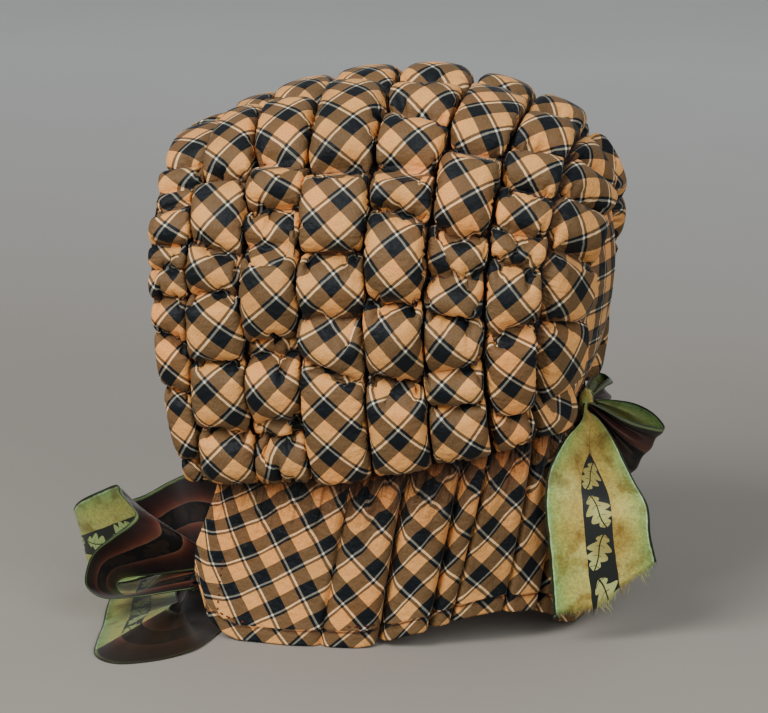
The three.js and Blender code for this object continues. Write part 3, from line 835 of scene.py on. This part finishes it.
def make_crown(plaid, lining):
    cloth = relaxed_rolls()
    x = cloth["x"].astype(float)
    rolls, rows, columns = x.shape[:3]
    local = grid_faces(rows, columns)
    points = [x.reshape(-1, 3)]
    faces = [local + index * rows * columns for index in range(rolls)]
    corner_uv = crown_uv(cloth, local)
    # How low the cloth lies in the creases and valleys: low cloth is warmer and gets painted shade.
    tucked_and_shaded = [np.clip(1.08 - cloth["lift"].reshape(-1) * 2.0, 0, 1)]
    # The cloth in the valleys joins the rolls; it is set on a black place of the plaid, as painted shade.
    index = np.arange(rolls * rows * columns).reshape(rolls, rows, columns)
    for a, b in zip(index[:-1, :, -1], index[1:, :, 0]):
        faces.append(np.stack([a[:-1], b[:-1], b[1:], a[1:]], axis=-1))
        corner_uv.append(np.full((rows - 1, 4, 2), SHADE_PLACE))
    material = [np.zeros(sum(len(f) for f in faces), int)]
    start = index.size

    def add_grid(grid, uv_grid, shade, slot):
        nonlocal start
        f = grid_faces(*grid.shape[:2])
        points.append(grid.reshape(-1, 3))
        faces.append(f + start)
        corner_uv.append(uv_grid.reshape(-1, 2)[f])
        tucked_and_shaded.append(np.full(len(points[-1]), shade))
        material.append(np.full(len(f), slot))
        start += len(points[-1])

    # Hems: the cloth turns in at the face edge, at the back seam and at the neck
    ways = np.linspace(-1, 1, rows)
    for place, last, inward in ((0.0, 0, 1), (float(rolls), -1, -1)):
        edge = x[last, :, last]
        inner = arch_point(place, ways, LINING_WALL + 0.1)
        deep = arch_point(place + inward * 0.25, ways, LINING_WALL + 0.2)
        fold = (edge + inner) / 2 - [0, inward * 0.7, 0]
        hem = np.stack([edge, fold, inner, deep], axis=1)[:, ::-inward]
        length = places_of(np.linalg.norm(np.diff(edge, axis=0), axis=1))
        add_grid(hem, pairs_of(length, HEM_PLACES), HEM_SHADE, 0)
    places = (np.arange(rolls)[:, None] + np.linspace(0, 1, columns)[None]).reshape(-1)
    for end, way in ((0, -1), (-1, 1)):
        edge = x[:, end].reshape(-1, 3)
        inner = arch_point(places, way, LINING_WALL + 0.1)
        deep = arch_point(places, way * 0.97, LINING_WALL + 0.2)
        fold = (edge + inner) / 2 - [0, 0, 0.3]
        hem = np.stack([edge, fold, inner, deep])[::way]
        add_grid(hem, pairs_of(HEM_PLACES, np.arange(len(places)) * 1.2), HEM_SHADE, 0)

    # The lining lies flat inside, a little puffed between the lines of quilting
    p, w = np.meshgrid(np.linspace(0, rolls, rolls * 8 + 1), np.linspace(-1, 1, 161))
    flat = arch_point(p, w, LINING_WALL)
    normal = unit(np.cross(np.gradient(flat, axis=0), np.gradient(flat, axis=1)))
    between = np.sin(math.pi * (p % 1))
    puffed = 1.6 * between**0.8 + 0.35 * np.sin(w * 90 + 3 * np.sin(p * 5)) * between
    grid = flat - normal * puffed[..., None]
    add_grid(grid[:, ::-1], np.stack([p * 30.0, w * 280.0], axis=-1)[:, ::-1], 0.0, 1)

    # How far along its roll each point lies, and how far from the nearer seam
    along_seam = np.pad(np.cumsum(cloth["along"], axis=1), ((0, 0), (1, 0), (0, 0)))
    along_seam += BETWEEN_ROLLS * np.arange(rolls)[:, None, None]
    nearer = from_ends(np.arange(columns), columns) * cloth["across"].mean()
    from_seam = np.broadcast_to(nearer, along_seam.shape)
    rest = start - along_seam.size

    crown = make_piece(
        "crown_puffs",
        np.concatenate(points),
        np.concatenate(faces)[:, ::-1],
        [plaid, lining],
        np.concatenate(corner_uv)[:, ::-1],
        np.concatenate(material),
        {
            "tucked_and_shaded": np.concatenate(tucked_and_shaded),
            "along_seam": np.pad(along_seam.reshape(-1), (0, rest)),
            "from_seam": np.pad(from_seam.reshape(-1), (0, rest), constant_values=SMOOTH),
        },
    )
    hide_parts("quilted_crown")


# The back panel, gathered round its arched edge

PANEL_BULGE = 11
PANEL_WALL = 2.6
PANEL_RINGS = 46
PANEL_GATHERS = 34
PANEL_MIDDLE = 0.55  # the share of the panel's height where its gathers meet
PANEL_BELOW = 1.6  # from the ends of the arch down to the panel's base


def make_panel(plaid, lining):
    edge = arch_point(float(len(SEAMS) - 1), np.linspace(-1, 1, 241), LINING_WALL - 0.2)
    middle = edge[0] + PANEL_MIDDLE * (edge[len(edge) // 2] - edge[0])
    middle[0] = 0
    base = np.linspace(edge[-1], edge[0], 61)[1:-1] - [0, 0, PANEL_BELOW]
    loop = np.concatenate([edge, base, edge[:1]])
    ring = np.linspace(0.001, 1, PANEL_RINGS)[:, None]
    grid = middle + (loop - middle) * ring[..., None]
    grid[..., 1] += 0.4 + PANEL_BULGE * (1 - ring**2)
    # Gathers run in from the arch and die out towards the middle
    place = np.linspace(0, 1, len(loop))
    phase = 2 * math.pi * (PANEL_GATHERS * place + 0.6 * np.sin(31 * place) + 0.35 * np.sin(83 * place + 1))
    strong = ring**5 * (0.6 + 0.4 * np.sin(19 * place))
    wrinkle = 1.5 * strong * np.sin(phase + 1.5 * ring)
    wrinkle += 0.8 * ring**2 * np.sin(0.45 * phase + 4 * ring)
    wrinkle *= np.minimum(1, (1 - ring) / 0.04)
    grid[..., 1] += wrinkle
    inner = grid - [0, PANEL_WALL, 0]

    faces = grid_faces(PANEL_RINGS, len(loop))
    count = PANEL_RINGS * len(loop)
    rim = np.arange(count - len(loop), count)
    closing = np.stack([rim[:-1], rim[1:], rim[1:] + count, rim[:-1] + count], axis=-1)
    all_faces = np.concatenate([faces, faces[:, ::-1] + count, closing])
    flat = np.stack([grid[..., 0] * 1.12 + 2.0 * np.sin(phase) * strong, grid[..., 2] * 1.1], axis=-1)
    # Deep in the gathers near the arch the cloth is warmer and gets painted shade.
    tucked_and_shaded = np.clip(0.5 - wrinkle, 0, 1) * strong
    along_seam = np.broadcast_to(place * 560, wrinkle.shape).reshape(-1)
    from_seam = np.broadcast_to((1 - ring) * 70, wrinkle.shape).reshape(-1)
    panel = make_piece(
        "panel_cloth",
        np.concatenate([grid.reshape(-1, 3), inner.reshape(-1, 3)]),
        all_faces[:, ::-1],
        [plaid, lining],
        flat.reshape(-1, 2)[all_faces % count][:, ::-1],
        np.repeat([0, 1, 0], [len(faces), len(faces), len(closing)]),
        {
            "tucked_and_shaded": np.concatenate([tucked_and_shaded.reshape(-1), np.zeros(count)]),
            "along_seam": np.tile(along_seam, 2),
            "from_seam": np.concatenate([from_seam, np.full(count, SMOOTH)]),
        },
    )
    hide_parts("back_panel")


# The neck curtain

CURTAIN_STEP = 16  # columns for each row of the table
CURTAIN_WALL = 0.4  # on either side of the cloth's middle
CURTAIN_LIFT = 0.3  # of its top edge, into the neck seam
LOWEST = 0.6  # of the cloth's middle over the floor
HEM_BAND = 9.0  # of the strip that binds the hem
SIDE_SHARE = 0.85  # of the curtain's seam that follows the crown's neck ends; the rest crosses the nape

# Narrow gaps between the folds: share of the curtain's seam, depth and half width in shares
CURTAIN_GAPS = [
    (0.318, 4.5, 0.009), (0.43, 14, 0.013), (0.548, 12, 0.011), (0.605, 7, 0.009),
    (0.755, 10, 0.010), (0.865, 7, 0.010), (0.935, 6, 0.010),
]
# The way that the plaid runs on the cloth between two gaps, in degrees
PLAID_TURNS = np.array([-32, -45, -47, -52, -45, -49, -43, -40])
# How far the cloth between the gaps stands out from the smooth line: share and height
CURTAIN_LOBES = np.array(
    [
        (0.0, 0), (0.2, 0), (0.29, 1.5), (0.37, 3.5), (0.40, 4), (0.47, 3.5), (0.53, 6),
        (0.57, 5), (0.63, 5), (0.70, 5), (0.77, 5), (0.83, 4), (0.90, 3.5), (1.0, 3),
    ]
)


def smooth_table(table, count):
    """A Catmull-Rom curve through the rows of a table, at count evenly spread places."""
    table = np.asarray(table, float)
    place = np.linspace(0, len(table) - 1, count)
    first = np.minimum(place.astype(int), len(table) - 2)
    t = (place - first)[:, None]
    padded = np.concatenate([[2 * table[0] - table[1]], table, [2 * table[-1] - table[-2]]])
    a, b, c, d = (padded[first + k] for k in range(4))
    return 0.5 * (2 * b + (c - a) * t + (2 * a - 5 * b + 4 * c - d) * t**2 + (3 * b - a - 3 * c + d) * t**3)


def neck_point(share):
    """The neck seam's place at a share of the curtain's seam, from the front corner to the nape."""
    last = len(SEAMS) - 1
    place = CURTAIN_START + (last - CURTAIN_START) * np.minimum(share / SIDE_SHARE, 1)
    point = arch_point(place, 1.0)
    t = np.clip((share - SIDE_SHARE) / (1 - SIDE_SHARE), 0, 1)
    point[..., 0] *= 1 - t
    point[..., 1] += 1.5 * np.sin(t * math.pi / 2)
    return point


def curtain_half(down):
    """The curtain's left half in rows from seam to hem, its columns' shares, its gaps' lean, its height."""
    half = (len(HEM) - 1) * CURTAIN_STEP + 1
    table = smooth_table(HEM, half)
    share, low = table[:, 0], table[:, 1:]
    low[:, 2] = np.interp(np.linspace(0, len(HEM) - 1, half), np.arange(len(HEM)), HEM[:, 3])
    low[:, 2] = np.maximum(low[:, 2], LOWEST)
    way = unit(np.gradient(low * [1, 1, 0], axis=0))
    out = np.stack([way[:, 1], -way[:, 0], np.zeros(half)], axis=-1)
    high = neck_point(share) + [0, 0, CURTAIN_LIFT]
    d = down[:, None]

    # Lobes and gaps hang from the gathers, and the gaps lean a little
    lean = 0.012 * np.sin(9 * share) * d
    lobes = np.interp(share + lean, CURTAIN_LOBES[:, 0], CURTAIN_LOBES[:, 1])
    offset = lobes * np.interp(d, [0, 0.12, 0.35, 0.7, 1], [0, 0.6, 1, 1.1, 1])
    sideways = np.zeros_like(offset)
    opened = np.interp(d, [0, 0.1, 0.35, 0.8, 1], [0.1, 0.55, 1, 1, 0.85])
    for place, depth, width in CURTAIN_GAPS:
        t = (share + lean - place) / width
        offset -= depth * opened * np.exp(-np.abs(t) ** 1.6)
        # The lobe in front of a gap laps over it
        sideways += 2.2 * opened * min(1, depth / 10) * np.exp(-((t + 1.3) ** 2) / 1.5)
    # Gathers at the seam, and the wrinkles that run down from them
    turn = 2 * math.pi * share
    fine = 40 * turn + 1.6 * np.sin(37 * share) + 1.2 * np.sin(91 * share) + 3 * d
    middling = 27 * turn + 2.1 * np.sin(53 * share) + 5 * d
    slow = 17 * turn + 1.1 * np.sin(23 * share) + 1.6 * d
    gathers = 1.5 * np.sin(fine) * np.exp(-d / 0.13) * np.minimum(1, d / 0.02)
    gathers += 0.9 * np.sin(middling) * np.exp(-((d - 0.13) ** 2) / 0.02)
    gathers += 1.2 * np.sin(slow) * np.exp(-((d - 0.2) ** 2) / 0.05)
    offset += gathers * np.interp(share, [0, 0.1, 0.24, 0.34, 1], [0.35, 0.4, 0.5, 1, 1])
    offset += 0.3 * np.sin(31 * share + 5 * d) * np.sin(17 * share - 7 * d)
    left = high + (low - high) * d[..., None] + out * offset[..., None] + way * sideways[..., None]
    # The front edge bulges forward
    left[..., 1] -= np.exp(-share / 0.07) * np.interp(d, [0, 0.15, 0.6, 0.85, 1], [-4, -2, 6, 5, 0])
    return left, share, lean, np.linalg.norm(high - low, axis=1).mean()


def curtain_uv(faces, columns, share, lean, length, depth):
    """The plaid runs askew, and differently on each lobe. The strip that binds the hem has its own run."""
    row, column = np.divmod(faces % (len(depth) * columns), columns)
    inward = from_ends(column, columns)
    share_of = np.interp(inward, np.arange(len(share)), share)
    here = share_of.mean(axis=1) + lean[row.min(axis=1), inward.mean(axis=1).astype(int)]
    lobe = np.searchsorted([place for place, _, _ in CURTAIN_GAPS], here)
    mirrored = np.where(column.mean(axis=1) > len(share), -1, 1)
    turn = (mirrored * np.radians(PLAID_TURNS)[lobe])[:, None]
    u, v = length[column], depth[row]
    # The gathers make the plaid's lines waver, most near the seam
    waver = 1.5 * np.exp(-v / 26) * np.sin(0.5 * u + 2 * np.sin(0.13 * u))
    waver *= np.interp(share_of, [0.2, 0.35], [0.3, 1])
    waver += 0.45 * np.sin(0.16 * u + 0.11 * v) * np.sin(0.07 * u - 0.19 * v)
    u, v = u + 0.6 * waver, v + waver
    flat = np.stack([u * np.cos(turn) + v * np.sin(turn), u * np.sin(turn) - v * np.cos(turn)], axis=-1)
    flat += np.stack([5.7 * lobe, 3.1 * lobe], axis=-1)[:, None]
    bound = np.stack([0.72 * u - 0.7 * v + 5, 0.7 * u + 0.72 * v], axis=-1)
    in_band = (depth[-1] - depth[row]).max(axis=1) < HEM_BAND + 0.5
    return np.where(in_band[:, None, None], bound, flat)


def make_curtain(plaid):
    # The rows lie closer where the hem's binding meets the cloth above it
    down = np.concatenate([np.linspace(0, 0.88, 40), np.linspace(0.886, 0.94, 10), np.linspace(0.95, 1, 6)])
    left, share, lean, height = curtain_half(down)
    cloth = np.concatenate([left, left[:, :-1][:, ::-1] * [-1, 1, 1]], axis=1)
    cloth[..., 2] = np.maximum(cloth[..., 2], LOWEST)
    rows, columns = cloth.shape[:2]
    outward = unit(np.cross(np.gradient(cloth, axis=0), np.gradient(cloth, axis=1)))
    length = places_of(np.linalg.norm(np.diff(cloth, axis=1), axis=2)[rows // 2])
    depth = height * down
    below = depth[-1] - depth
    # The cloth above the binding of the hem folds over it
    above = np.maximum(below - HEM_BAND, 0)
    groove = 0.65 * np.exp(-np.abs(below - HEM_BAND + 0.7) / 0.8) - 0.5 * (above > 0) * np.exp(-above / 5)
    outer = cloth + outward * (CURTAIN_WALL - groove[:, None])[..., None]
    points, faces = closed_sheet(outer, cloth - outward * CURTAIN_WALL)

    # Among the gathers near the seam the cloth is warmer and gets painted shade; a painted shadow line runs
    # in the groove under the fold above the hem's binding.
    tucked_and_shaded = 0.95 * np.exp(-depth / 16.0) + 0.7 * np.exp(-np.abs(below - HEM_BAND + 0.8) / 0.7)
    gathers = np.interp(from_ends(np.arange(columns), columns), np.arange(len(share)), share)
    tucked_and_shaded = np.clip(tucked_and_shaded[:, None] * np.interp(gathers, [0.2, 0.35], [0.6, 1]), 0, 1)
    curtain = make_piece(
        "curtain_cloth",
        points,
        faces,
        [plaid],
        curtain_uv(faces, columns, share, lean, length, depth),
        None,
        {
            "tucked_and_shaded": np.tile(tucked_and_shaded.reshape(-1), 2),
            "along_seam": np.tile(length, 2 * rows),
            "from_seam": np.tile(np.repeat(depth * 0.4, columns), 2),
        },
    )
    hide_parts("neck_curtain")
    return outer, length, depth


STITCH_STEP = 4.2
STITCH_LENGTH = 2.2
STITCHES_UP = 13.0  # from the hem to the row of stitches along it
STITCH_RUNS = [(20.0, 34.0), (96.0, 122.0)]  # where that row shows, as places along the curtain
STITCHES_IN = 19.0  # from the curtain's front edge to the stitches beside it


def make_stitches(thread, outer, length, depth):
    """Running stitches that show on the curtain: along the turned-up hem and down near its front edge."""
    points, faces = [], []
    row = int(np.searchsorted(depth, depth[-1] - STITCHES_UP))
    for cloth in (outer, outer[:, ::-1]):
        for first, last in STITCH_RUNS:
            for place in np.arange(first, last, STITCH_STEP):
                j, k = np.searchsorted(length, (place, place + STITCH_LENGTH))
                add_stitch(points, faces, cloth, row, j, cloth[row, k])
        j = int(np.searchsorted(length, STITCHES_IN))
        for r in range(24, row, 2):
            a, b = cloth[r, j], cloth[r + 1, j]
            add_stitch(points, faces, cloth, r, j, a + 0.8 * (b - a))
    stitches = make_piece("hem_stitches", np.array(points), np.array(faces), [thread])


def add_stitch(points, faces, cloth, row, column, b):
    """A short raised bar of thread from a point of the cloth to b."""
    a = cloth[row, column]
    along = unit(b - a)
    up = cloth[row - 1, column] - cloth[row + 1, column]
    normal = np.cross(up, cloth[row, column - 1] - cloth[row, column + 1])
    normal = unit(normal * np.sign(normal[0] * a[0]))
    wide = unit(np.cross(normal, along)) * 0.4
    start = len(points)
    for t, lift in ((0.0, -0.1), (0.25, 0.35), (0.75, 0.35), (1.0, -0.1)):
        p = a + (b - a) * t + normal * lift
        points.extend([p - wide, p + wide])
    for i in range(start, start + 6, 2):
        faces.append((i, i + 1, i + 3, i + 2))


# Ribbons

RIBBON_WALL = 0.16  # on either side of the ribbon's middle
LOOSE_THREADS = 150  # at a raw end
THREAD_LOCKS = 12


def ribbon_strip(table, turns=10, columns=49, wave=0.0, pleats=0, tucked=False, torn=()):
    """The middle surface of a ribbon: sections along it, each with points from edge to edge."""
    edges = np.array(table).reshape(len(table), 6)
    dense = smooth_table(edges, (len(table) - 1) * turns + 1)
    a, b = dense[:, :3], dense[:, 3:]
    t = np.linspace(0, 1, columns)
    # Where a tail is narrow, its middle is tucked in behind its sides
    chord = np.linalg.norm(b - a, axis=1)
    tuck = tucked * np.clip((RIBBON_WIDTH - 2 - chord) / 14, 0, 1)[:, None]
    folded = np.interp(t, [0, 0.34, 0.42, 0.58, 0.66, 1], [0, 0.52, 0.44, 0.56, 0.48, 1])
    behind = np.interp(t, [0, 0.34, 0.38, 0.62, 0.66, 1], [0, 0, 1, 1, 0, 0])
    across = t + tuck * (folded - t)
    grid = a[:, None] + (b - a)[:, None] * across[..., None]
    run = np.gradient(grid.mean(axis=1), axis=0)
    normal = unit(np.cross(b - a, run))
    length = places_of(np.linalg.norm(np.diff(grid, axis=0), axis=2).mean(axis=1))
    ripple = wave * np.sin(length[:, None] / 9.0 + 2.2 * t[None]) * (2 * t[None] - 1) ** 2
    grid = grid + normal[:, None] * (ripple + 1.3 * tuck * behind)[..., None]
    if pleats:
        # Where the section is narrow, the whole width is still there, in pleats
        deep = np.sqrt(np.maximum(0, RIBBON_WIDTH**2 - chord**2)) / (4 * pleats)
        deep = np.minimum(deep, 2.4) * np.clip((50 - chord) / 16, 0, 1)
        pleating = deep[:, None] * np.sin(2 * math.pi * pleats * t + 0.6 * np.sin(7 * t))[None]
        grid = grid + normal[:, None] * pleating[..., None]
    if torn:
        # The raw end is not straight: some of it reaches further than the rest
        reach = np.interp(t, [place for place, _ in torn], [further for _, further in torn])
        reach = reach + 0.8 * np.sin(37 * t) * np.sin(math.pi * t)
        late = np.clip((length - length[-1] + 16) / 16, 0, 1) ** 1.5
        grid = grid + unit(run[-1]) * reach[None, :, None] * late[:, None, None]
    grid[..., 2] = np.maximum(grid[..., 2], 0.5)
    return grid, normal, length


def make_ribbon(
    name, node, table, faces_up, faces_down, held, rests_on,
    start=0.0, frayed=False, turned_at=0.0, painted_shade=((0, 0),), **shape,
):
    """Its painted shade is given as pairs of a place along the ribbon, as a share, and how dark the shade is
    there.
    """
    grid, normal, length = ribbon_strip(table, **shape)
    rows, columns = grid.shape[:2]
    wall = normal[:, None] * RIBBON_WALL
    points, faces = closed_sheet(grid + wall, grid - wall)
    across = np.linspace(-RIBBON_WIDTH / 2, RIBBON_WIDTH / 2, columns)
    flat = pairs_of(length + start, across)[..., ::-1].reshape(-1, 2)
    # Up to turned_at, as a share of the rows, the ribbon shows its other face
    side = (rows - 1) * (columns - 1)
    before = faces[:side].min(axis=1) // columns < turned_at * rows
    material = np.concatenate([1 - before, before, np.zeros(len(faces) - 2 * side)])
    shade_along = np.interp(np.linspace(0, 1, rows), *zip(*painted_shade)).repeat(columns)
    values = {"painted_shade": np.tile(shade_along, 2)}
    uv = flat[faces % (rows * columns)]
    ribbon = make_piece(name, points, faces, [faces_up, faces_down], uv, material, values)
    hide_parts(node)
    if frayed:
        make_fray(name + "_threads", grid, normal, length, start, faces_up)


def make_fray(name, grid, normal, length, start, material):
    """Loose threads at the raw end, in locks that lean together. Each is a thin three-sided spike."""
    points, faces, uv = [], [], []
    end = grid[-1]
    direction = unit(grid[-1] - grid[-4])
    columns = len(end)
    lean = rng.normal(0, 0.4, THREAD_LOCKS)
    long_locks = rng.integers(0, THREAD_LOCKS, 3)
    for k in range(LOOSE_THREADS):
        t = (k + rng.uniform(0, 1)) / LOOSE_THREADS
        at = t * (columns - 1)
        j = min(int(at), columns - 2)
        root = end[j] + (end[j + 1] - end[j]) * (at - j) - direction[j]
        side = unit(end[j + 1] - end[j])
        lock = int(t * THREAD_LOCKS)
        reach = rng.uniform(1.5, 5.0) * (2.4 if lock in long_locks else 1.0)
        astray = side * lean[lock] + normal[-1] * rng.normal(0, 0.25)
        tip = root + direction[j] * (reach + 1) + astray * reach
        middle = (root + tip) / 2 + side * rng.normal(0, 0.12) * reach
        tip[2] = max(tip[2], 0.4)
        middle[2] = max(middle[2], 0.4)
        for centre, thick in ((root, 0.16), (middle, 0.13)):
            for turn in (0, 2 * math.pi / 3, 4 * math.pi / 3):
                points.append(centre + side * thick * math.cos(turn) + normal[-1] * thick * math.sin(turn))
        points.append(tip)
        base = 7 * k
        for a, b in ((0, 1), (1, 2), (2, 0)):
            faces.append((base + a, base + b, base + 3 + b))
            faces.append((base + a, base + 3 + b, base + 3 + a))
            faces.append((base + 3 + a, base + 3 + b, base + 6))
        uv.extend([[((t - 0.5) * RIBBON_WIDTH, start + length[-1])] * 3] * 9)
    fringe = make_piece(name, points, faces, [material], uv)


def make_knot(green):
    around, along = 72, 30
    a = np.linspace(0, 2 * math.pi, around, endpoint=False)
    angle, t = np.meshgrid(a, np.linspace(-1, 1, along))
    # The band is pulled tight round the bow, with folds that run round it
    fold = 1 + 0.05 * np.sin(9 * t * 2.2 + 1.5 * np.sin(angle)) + 0.03 * np.sin(5 * angle + 3 * t)
    radius = 0.95 * fold * np.sqrt(np.maximum(0.02, 1 - np.abs(t) ** 3))
    shape = np.stack([t, radius * np.cos(angle), radius * np.sin(angle)], axis=-1)
    grid = np.array(KNOT_CENTRE) + np.array(KNOT_SIZE) / 2 * shape
    index = np.arange(along * around).reshape(along, around)
    after = np.roll(index, -1, axis=1)
    faces = np.stack([index[:-1], after[:-1], after[1:], index[1:]], axis=-1).reshape(-1, 4)
    # Round the band the ribbon's places start again at 40, so the last faces have their zeros raised to that
    uv = np.stack([t * 26, angle / (2 * math.pi) * 40], axis=-1).reshape(-1, 2)[faces]
    around_end = uv[..., 1].max(axis=1) - uv[..., 1].min(axis=1) > 20
    uv[around_end, :, 1] += np.where(uv[around_end, :, 1] < 20, 40, 0)
    knot = make_piece("knot_band", grid.reshape(-1, 3), faces[:, ::-1], [green], uv[:, ::-1])
    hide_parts("bow_knot")


# Floor, light and camera

CAMERA_AZIMUTH = 100.5
CAMERA_HEIGHT_ANGLE = 14.0
CAMERA_DISTANCE = 2000.0
CAMERA_TARGET = (0, -6, 137)
MM_PER_PIXEL = 0.534
IMAGE_WIDTH = 768
SENSOR_WIDTH = 36.0
SKY = (0.62, 0.64, 0.66, 1)
SKY_STRENGTH = 0.5
LIT_POINT = (0, 0, 0.15)

# The lamps: name, place and size in metres, power and colour
LAMPS = [
    ("key", (1.5, -1.0, 1.65), 1.2, 54, (1.0, 0.98, 0.95)),
    ("fill", (1.6, 1.3, 1.1), 1.2, 22, (0.95, 0.98, 1.0)),
    ("top", (-0.5, 0.1, 1.9), 1.0, 3, (1.0, 1.0, 1.0)),
]


def make_stage():
    wires = Wires("pale_floor")
    place_x = wires.parts(wires.object_place())[0]
    # The floor's grey, with painted light: it grows lighter far behind the hood, where the floor is seen as
    # the backdrop.
    grey_and_painted_light = wires.ramp(
        wires.times_plus(place_x, -0.4, 0.3),
        [
            (0.2, screen(154, 149, 141)),
            (0.5, screen(158, 153, 146)),
            (0.8, screen(192, 192, 189)),
            (1.0, screen(214, 217, 214)),
        ],
    )
    mottled = wires.ramp(wires.noise(5.0, 3.0), [(0.3, (0.985, 0.985, 0.985)), (0.7, (1.0, 1.0, 1.0))])
    floor_material = wires.finish(wires.tint(grey_and_painted_light, mottled), 0.8, 0.0)
    bpy.ops.mesh.primitive_plane_add(size=14)
    floor = bpy.context.active_object
    floor.name = "floor"
    floor.data.materials.append(floor_material)
    world = bpy.data.worlds.new("studio")
    world.use_nodes = True
    background = world.node_tree.nodes["Background"]
    background.inputs[0].default_value = SKY
    background.inputs[1].default_value = SKY_STRENGTH
    bpy.context.scene.world = world


def make_lamp(name, place, size, power, colour):
    light = bpy.data.lights.new(name, "AREA")
    light.energy = power
    light.size = size
    light.color = colour
    lamp = bpy.data.objects.new(name, light)
    lamp.location = place
    lamp.rotation_euler = (Vector(LIT_POINT) - Vector(place)).to_track_quat("-Z", "Y").to_euler()
    bpy.context.collection.objects.link(lamp)


def make_camera():
    azimuth, height = math.radians(CAMERA_AZIMUTH), math.radians(CAMERA_HEIGHT_ANGLE)
    level = math.cos(height)
    back = Vector((math.sin(azimuth) * level, -math.cos(azimuth) * level, math.sin(height)))
    camera = bpy.data.objects.new("camera", bpy.data.cameras.new("camera"))
    camera.location = Vector(placed(CAMERA_TARGET)) + back * CAMERA_DISTANCE * MM
    camera.rotation_euler = (-back).to_track_quat("-Z", "Y").to_euler()
    camera.data.sensor_width = SENSOR_WIDTH
    camera.data.lens = SENSOR_WIDTH * CAMERA_DISTANCE / (IMAGE_WIDTH * MM_PER_PIXEL)
    camera.data.clip_end = 50
    bpy.context.collection.objects.link(camera)
    bpy.context.scene.camera = camera


make_camera()
make_stage()
for lamp in LAMPS:
    make_lamp(*lamp)

plaid = plaid_material()
lining = lining_material()
thread = thread_material()
green = ribbon_green()
coral = ribbon_coral()

make_crown(plaid, lining)
make_panel(plaid, lining)
make_stitches(thread, *make_curtain(plaid))

# Painted shade on the ribbons, as pairs of a share along the ribbon and how dark: inside the bow's loops,
# most of the right tie before its turn, and a little on the left tie.
laid = {"held": "laid", "rests_on": ["crown_puffs"], "frayed": True, "wave": 0.5}
hung = {"held": "hung", "rests_on": ["knot_band"], "frayed": True, "wave": 0.8}
gathered = {"held": "gathered", "rests_on": ["knot_band"], "pleats": 4, "painted_shade": [(0, 0.45)]}
shadowed = {"turned_at": 11.2 / 15, "painted_shade": [(0, 0.85), (0.7, 0.85), (0.76, 0.3), (1, 0.25)]}
# The left tail's end, as places across it and how much further than the rest they reach
torn = [(0, 0), (0.12, 3), (0.3, 7), (0.45, 9), (0.58, 6), (0.72, 3), (0.88, 2), (1, 0)]
near_tail = {"start": 3.0, "tucked": True, "torn": torn}
make_ribbon("tie_left_ribbon", "tie_left", TIE_LEFT, coral, green, start=6.0, painted_shade=[(0, 0.2)], **laid)
make_ribbon("tie_right_ribbon", "tie_right", TIE_RIGHT, green, coral, **shadowed, **laid)
make_ribbon("tail_left_ribbon", "bow_tail_left", BOW_TAIL_LEFT, green, coral, **near_tail, **hung)
make_ribbon("tail_right_ribbon", "bow_tail_right", BOW_TAIL_RIGHT, green, coral, start=9.0, pleats=4, **hung)
make_ribbon("loop_left_ribbon", "bow_loop_left", BOW_LOOP_LEFT, green, coral, **gathered)
make_ribbon("loop_right_ribbon", "bow_loop_right", BOW_LOOP_RIGHT, green, coral, start=5.0, **gathered)
make_knot(green)
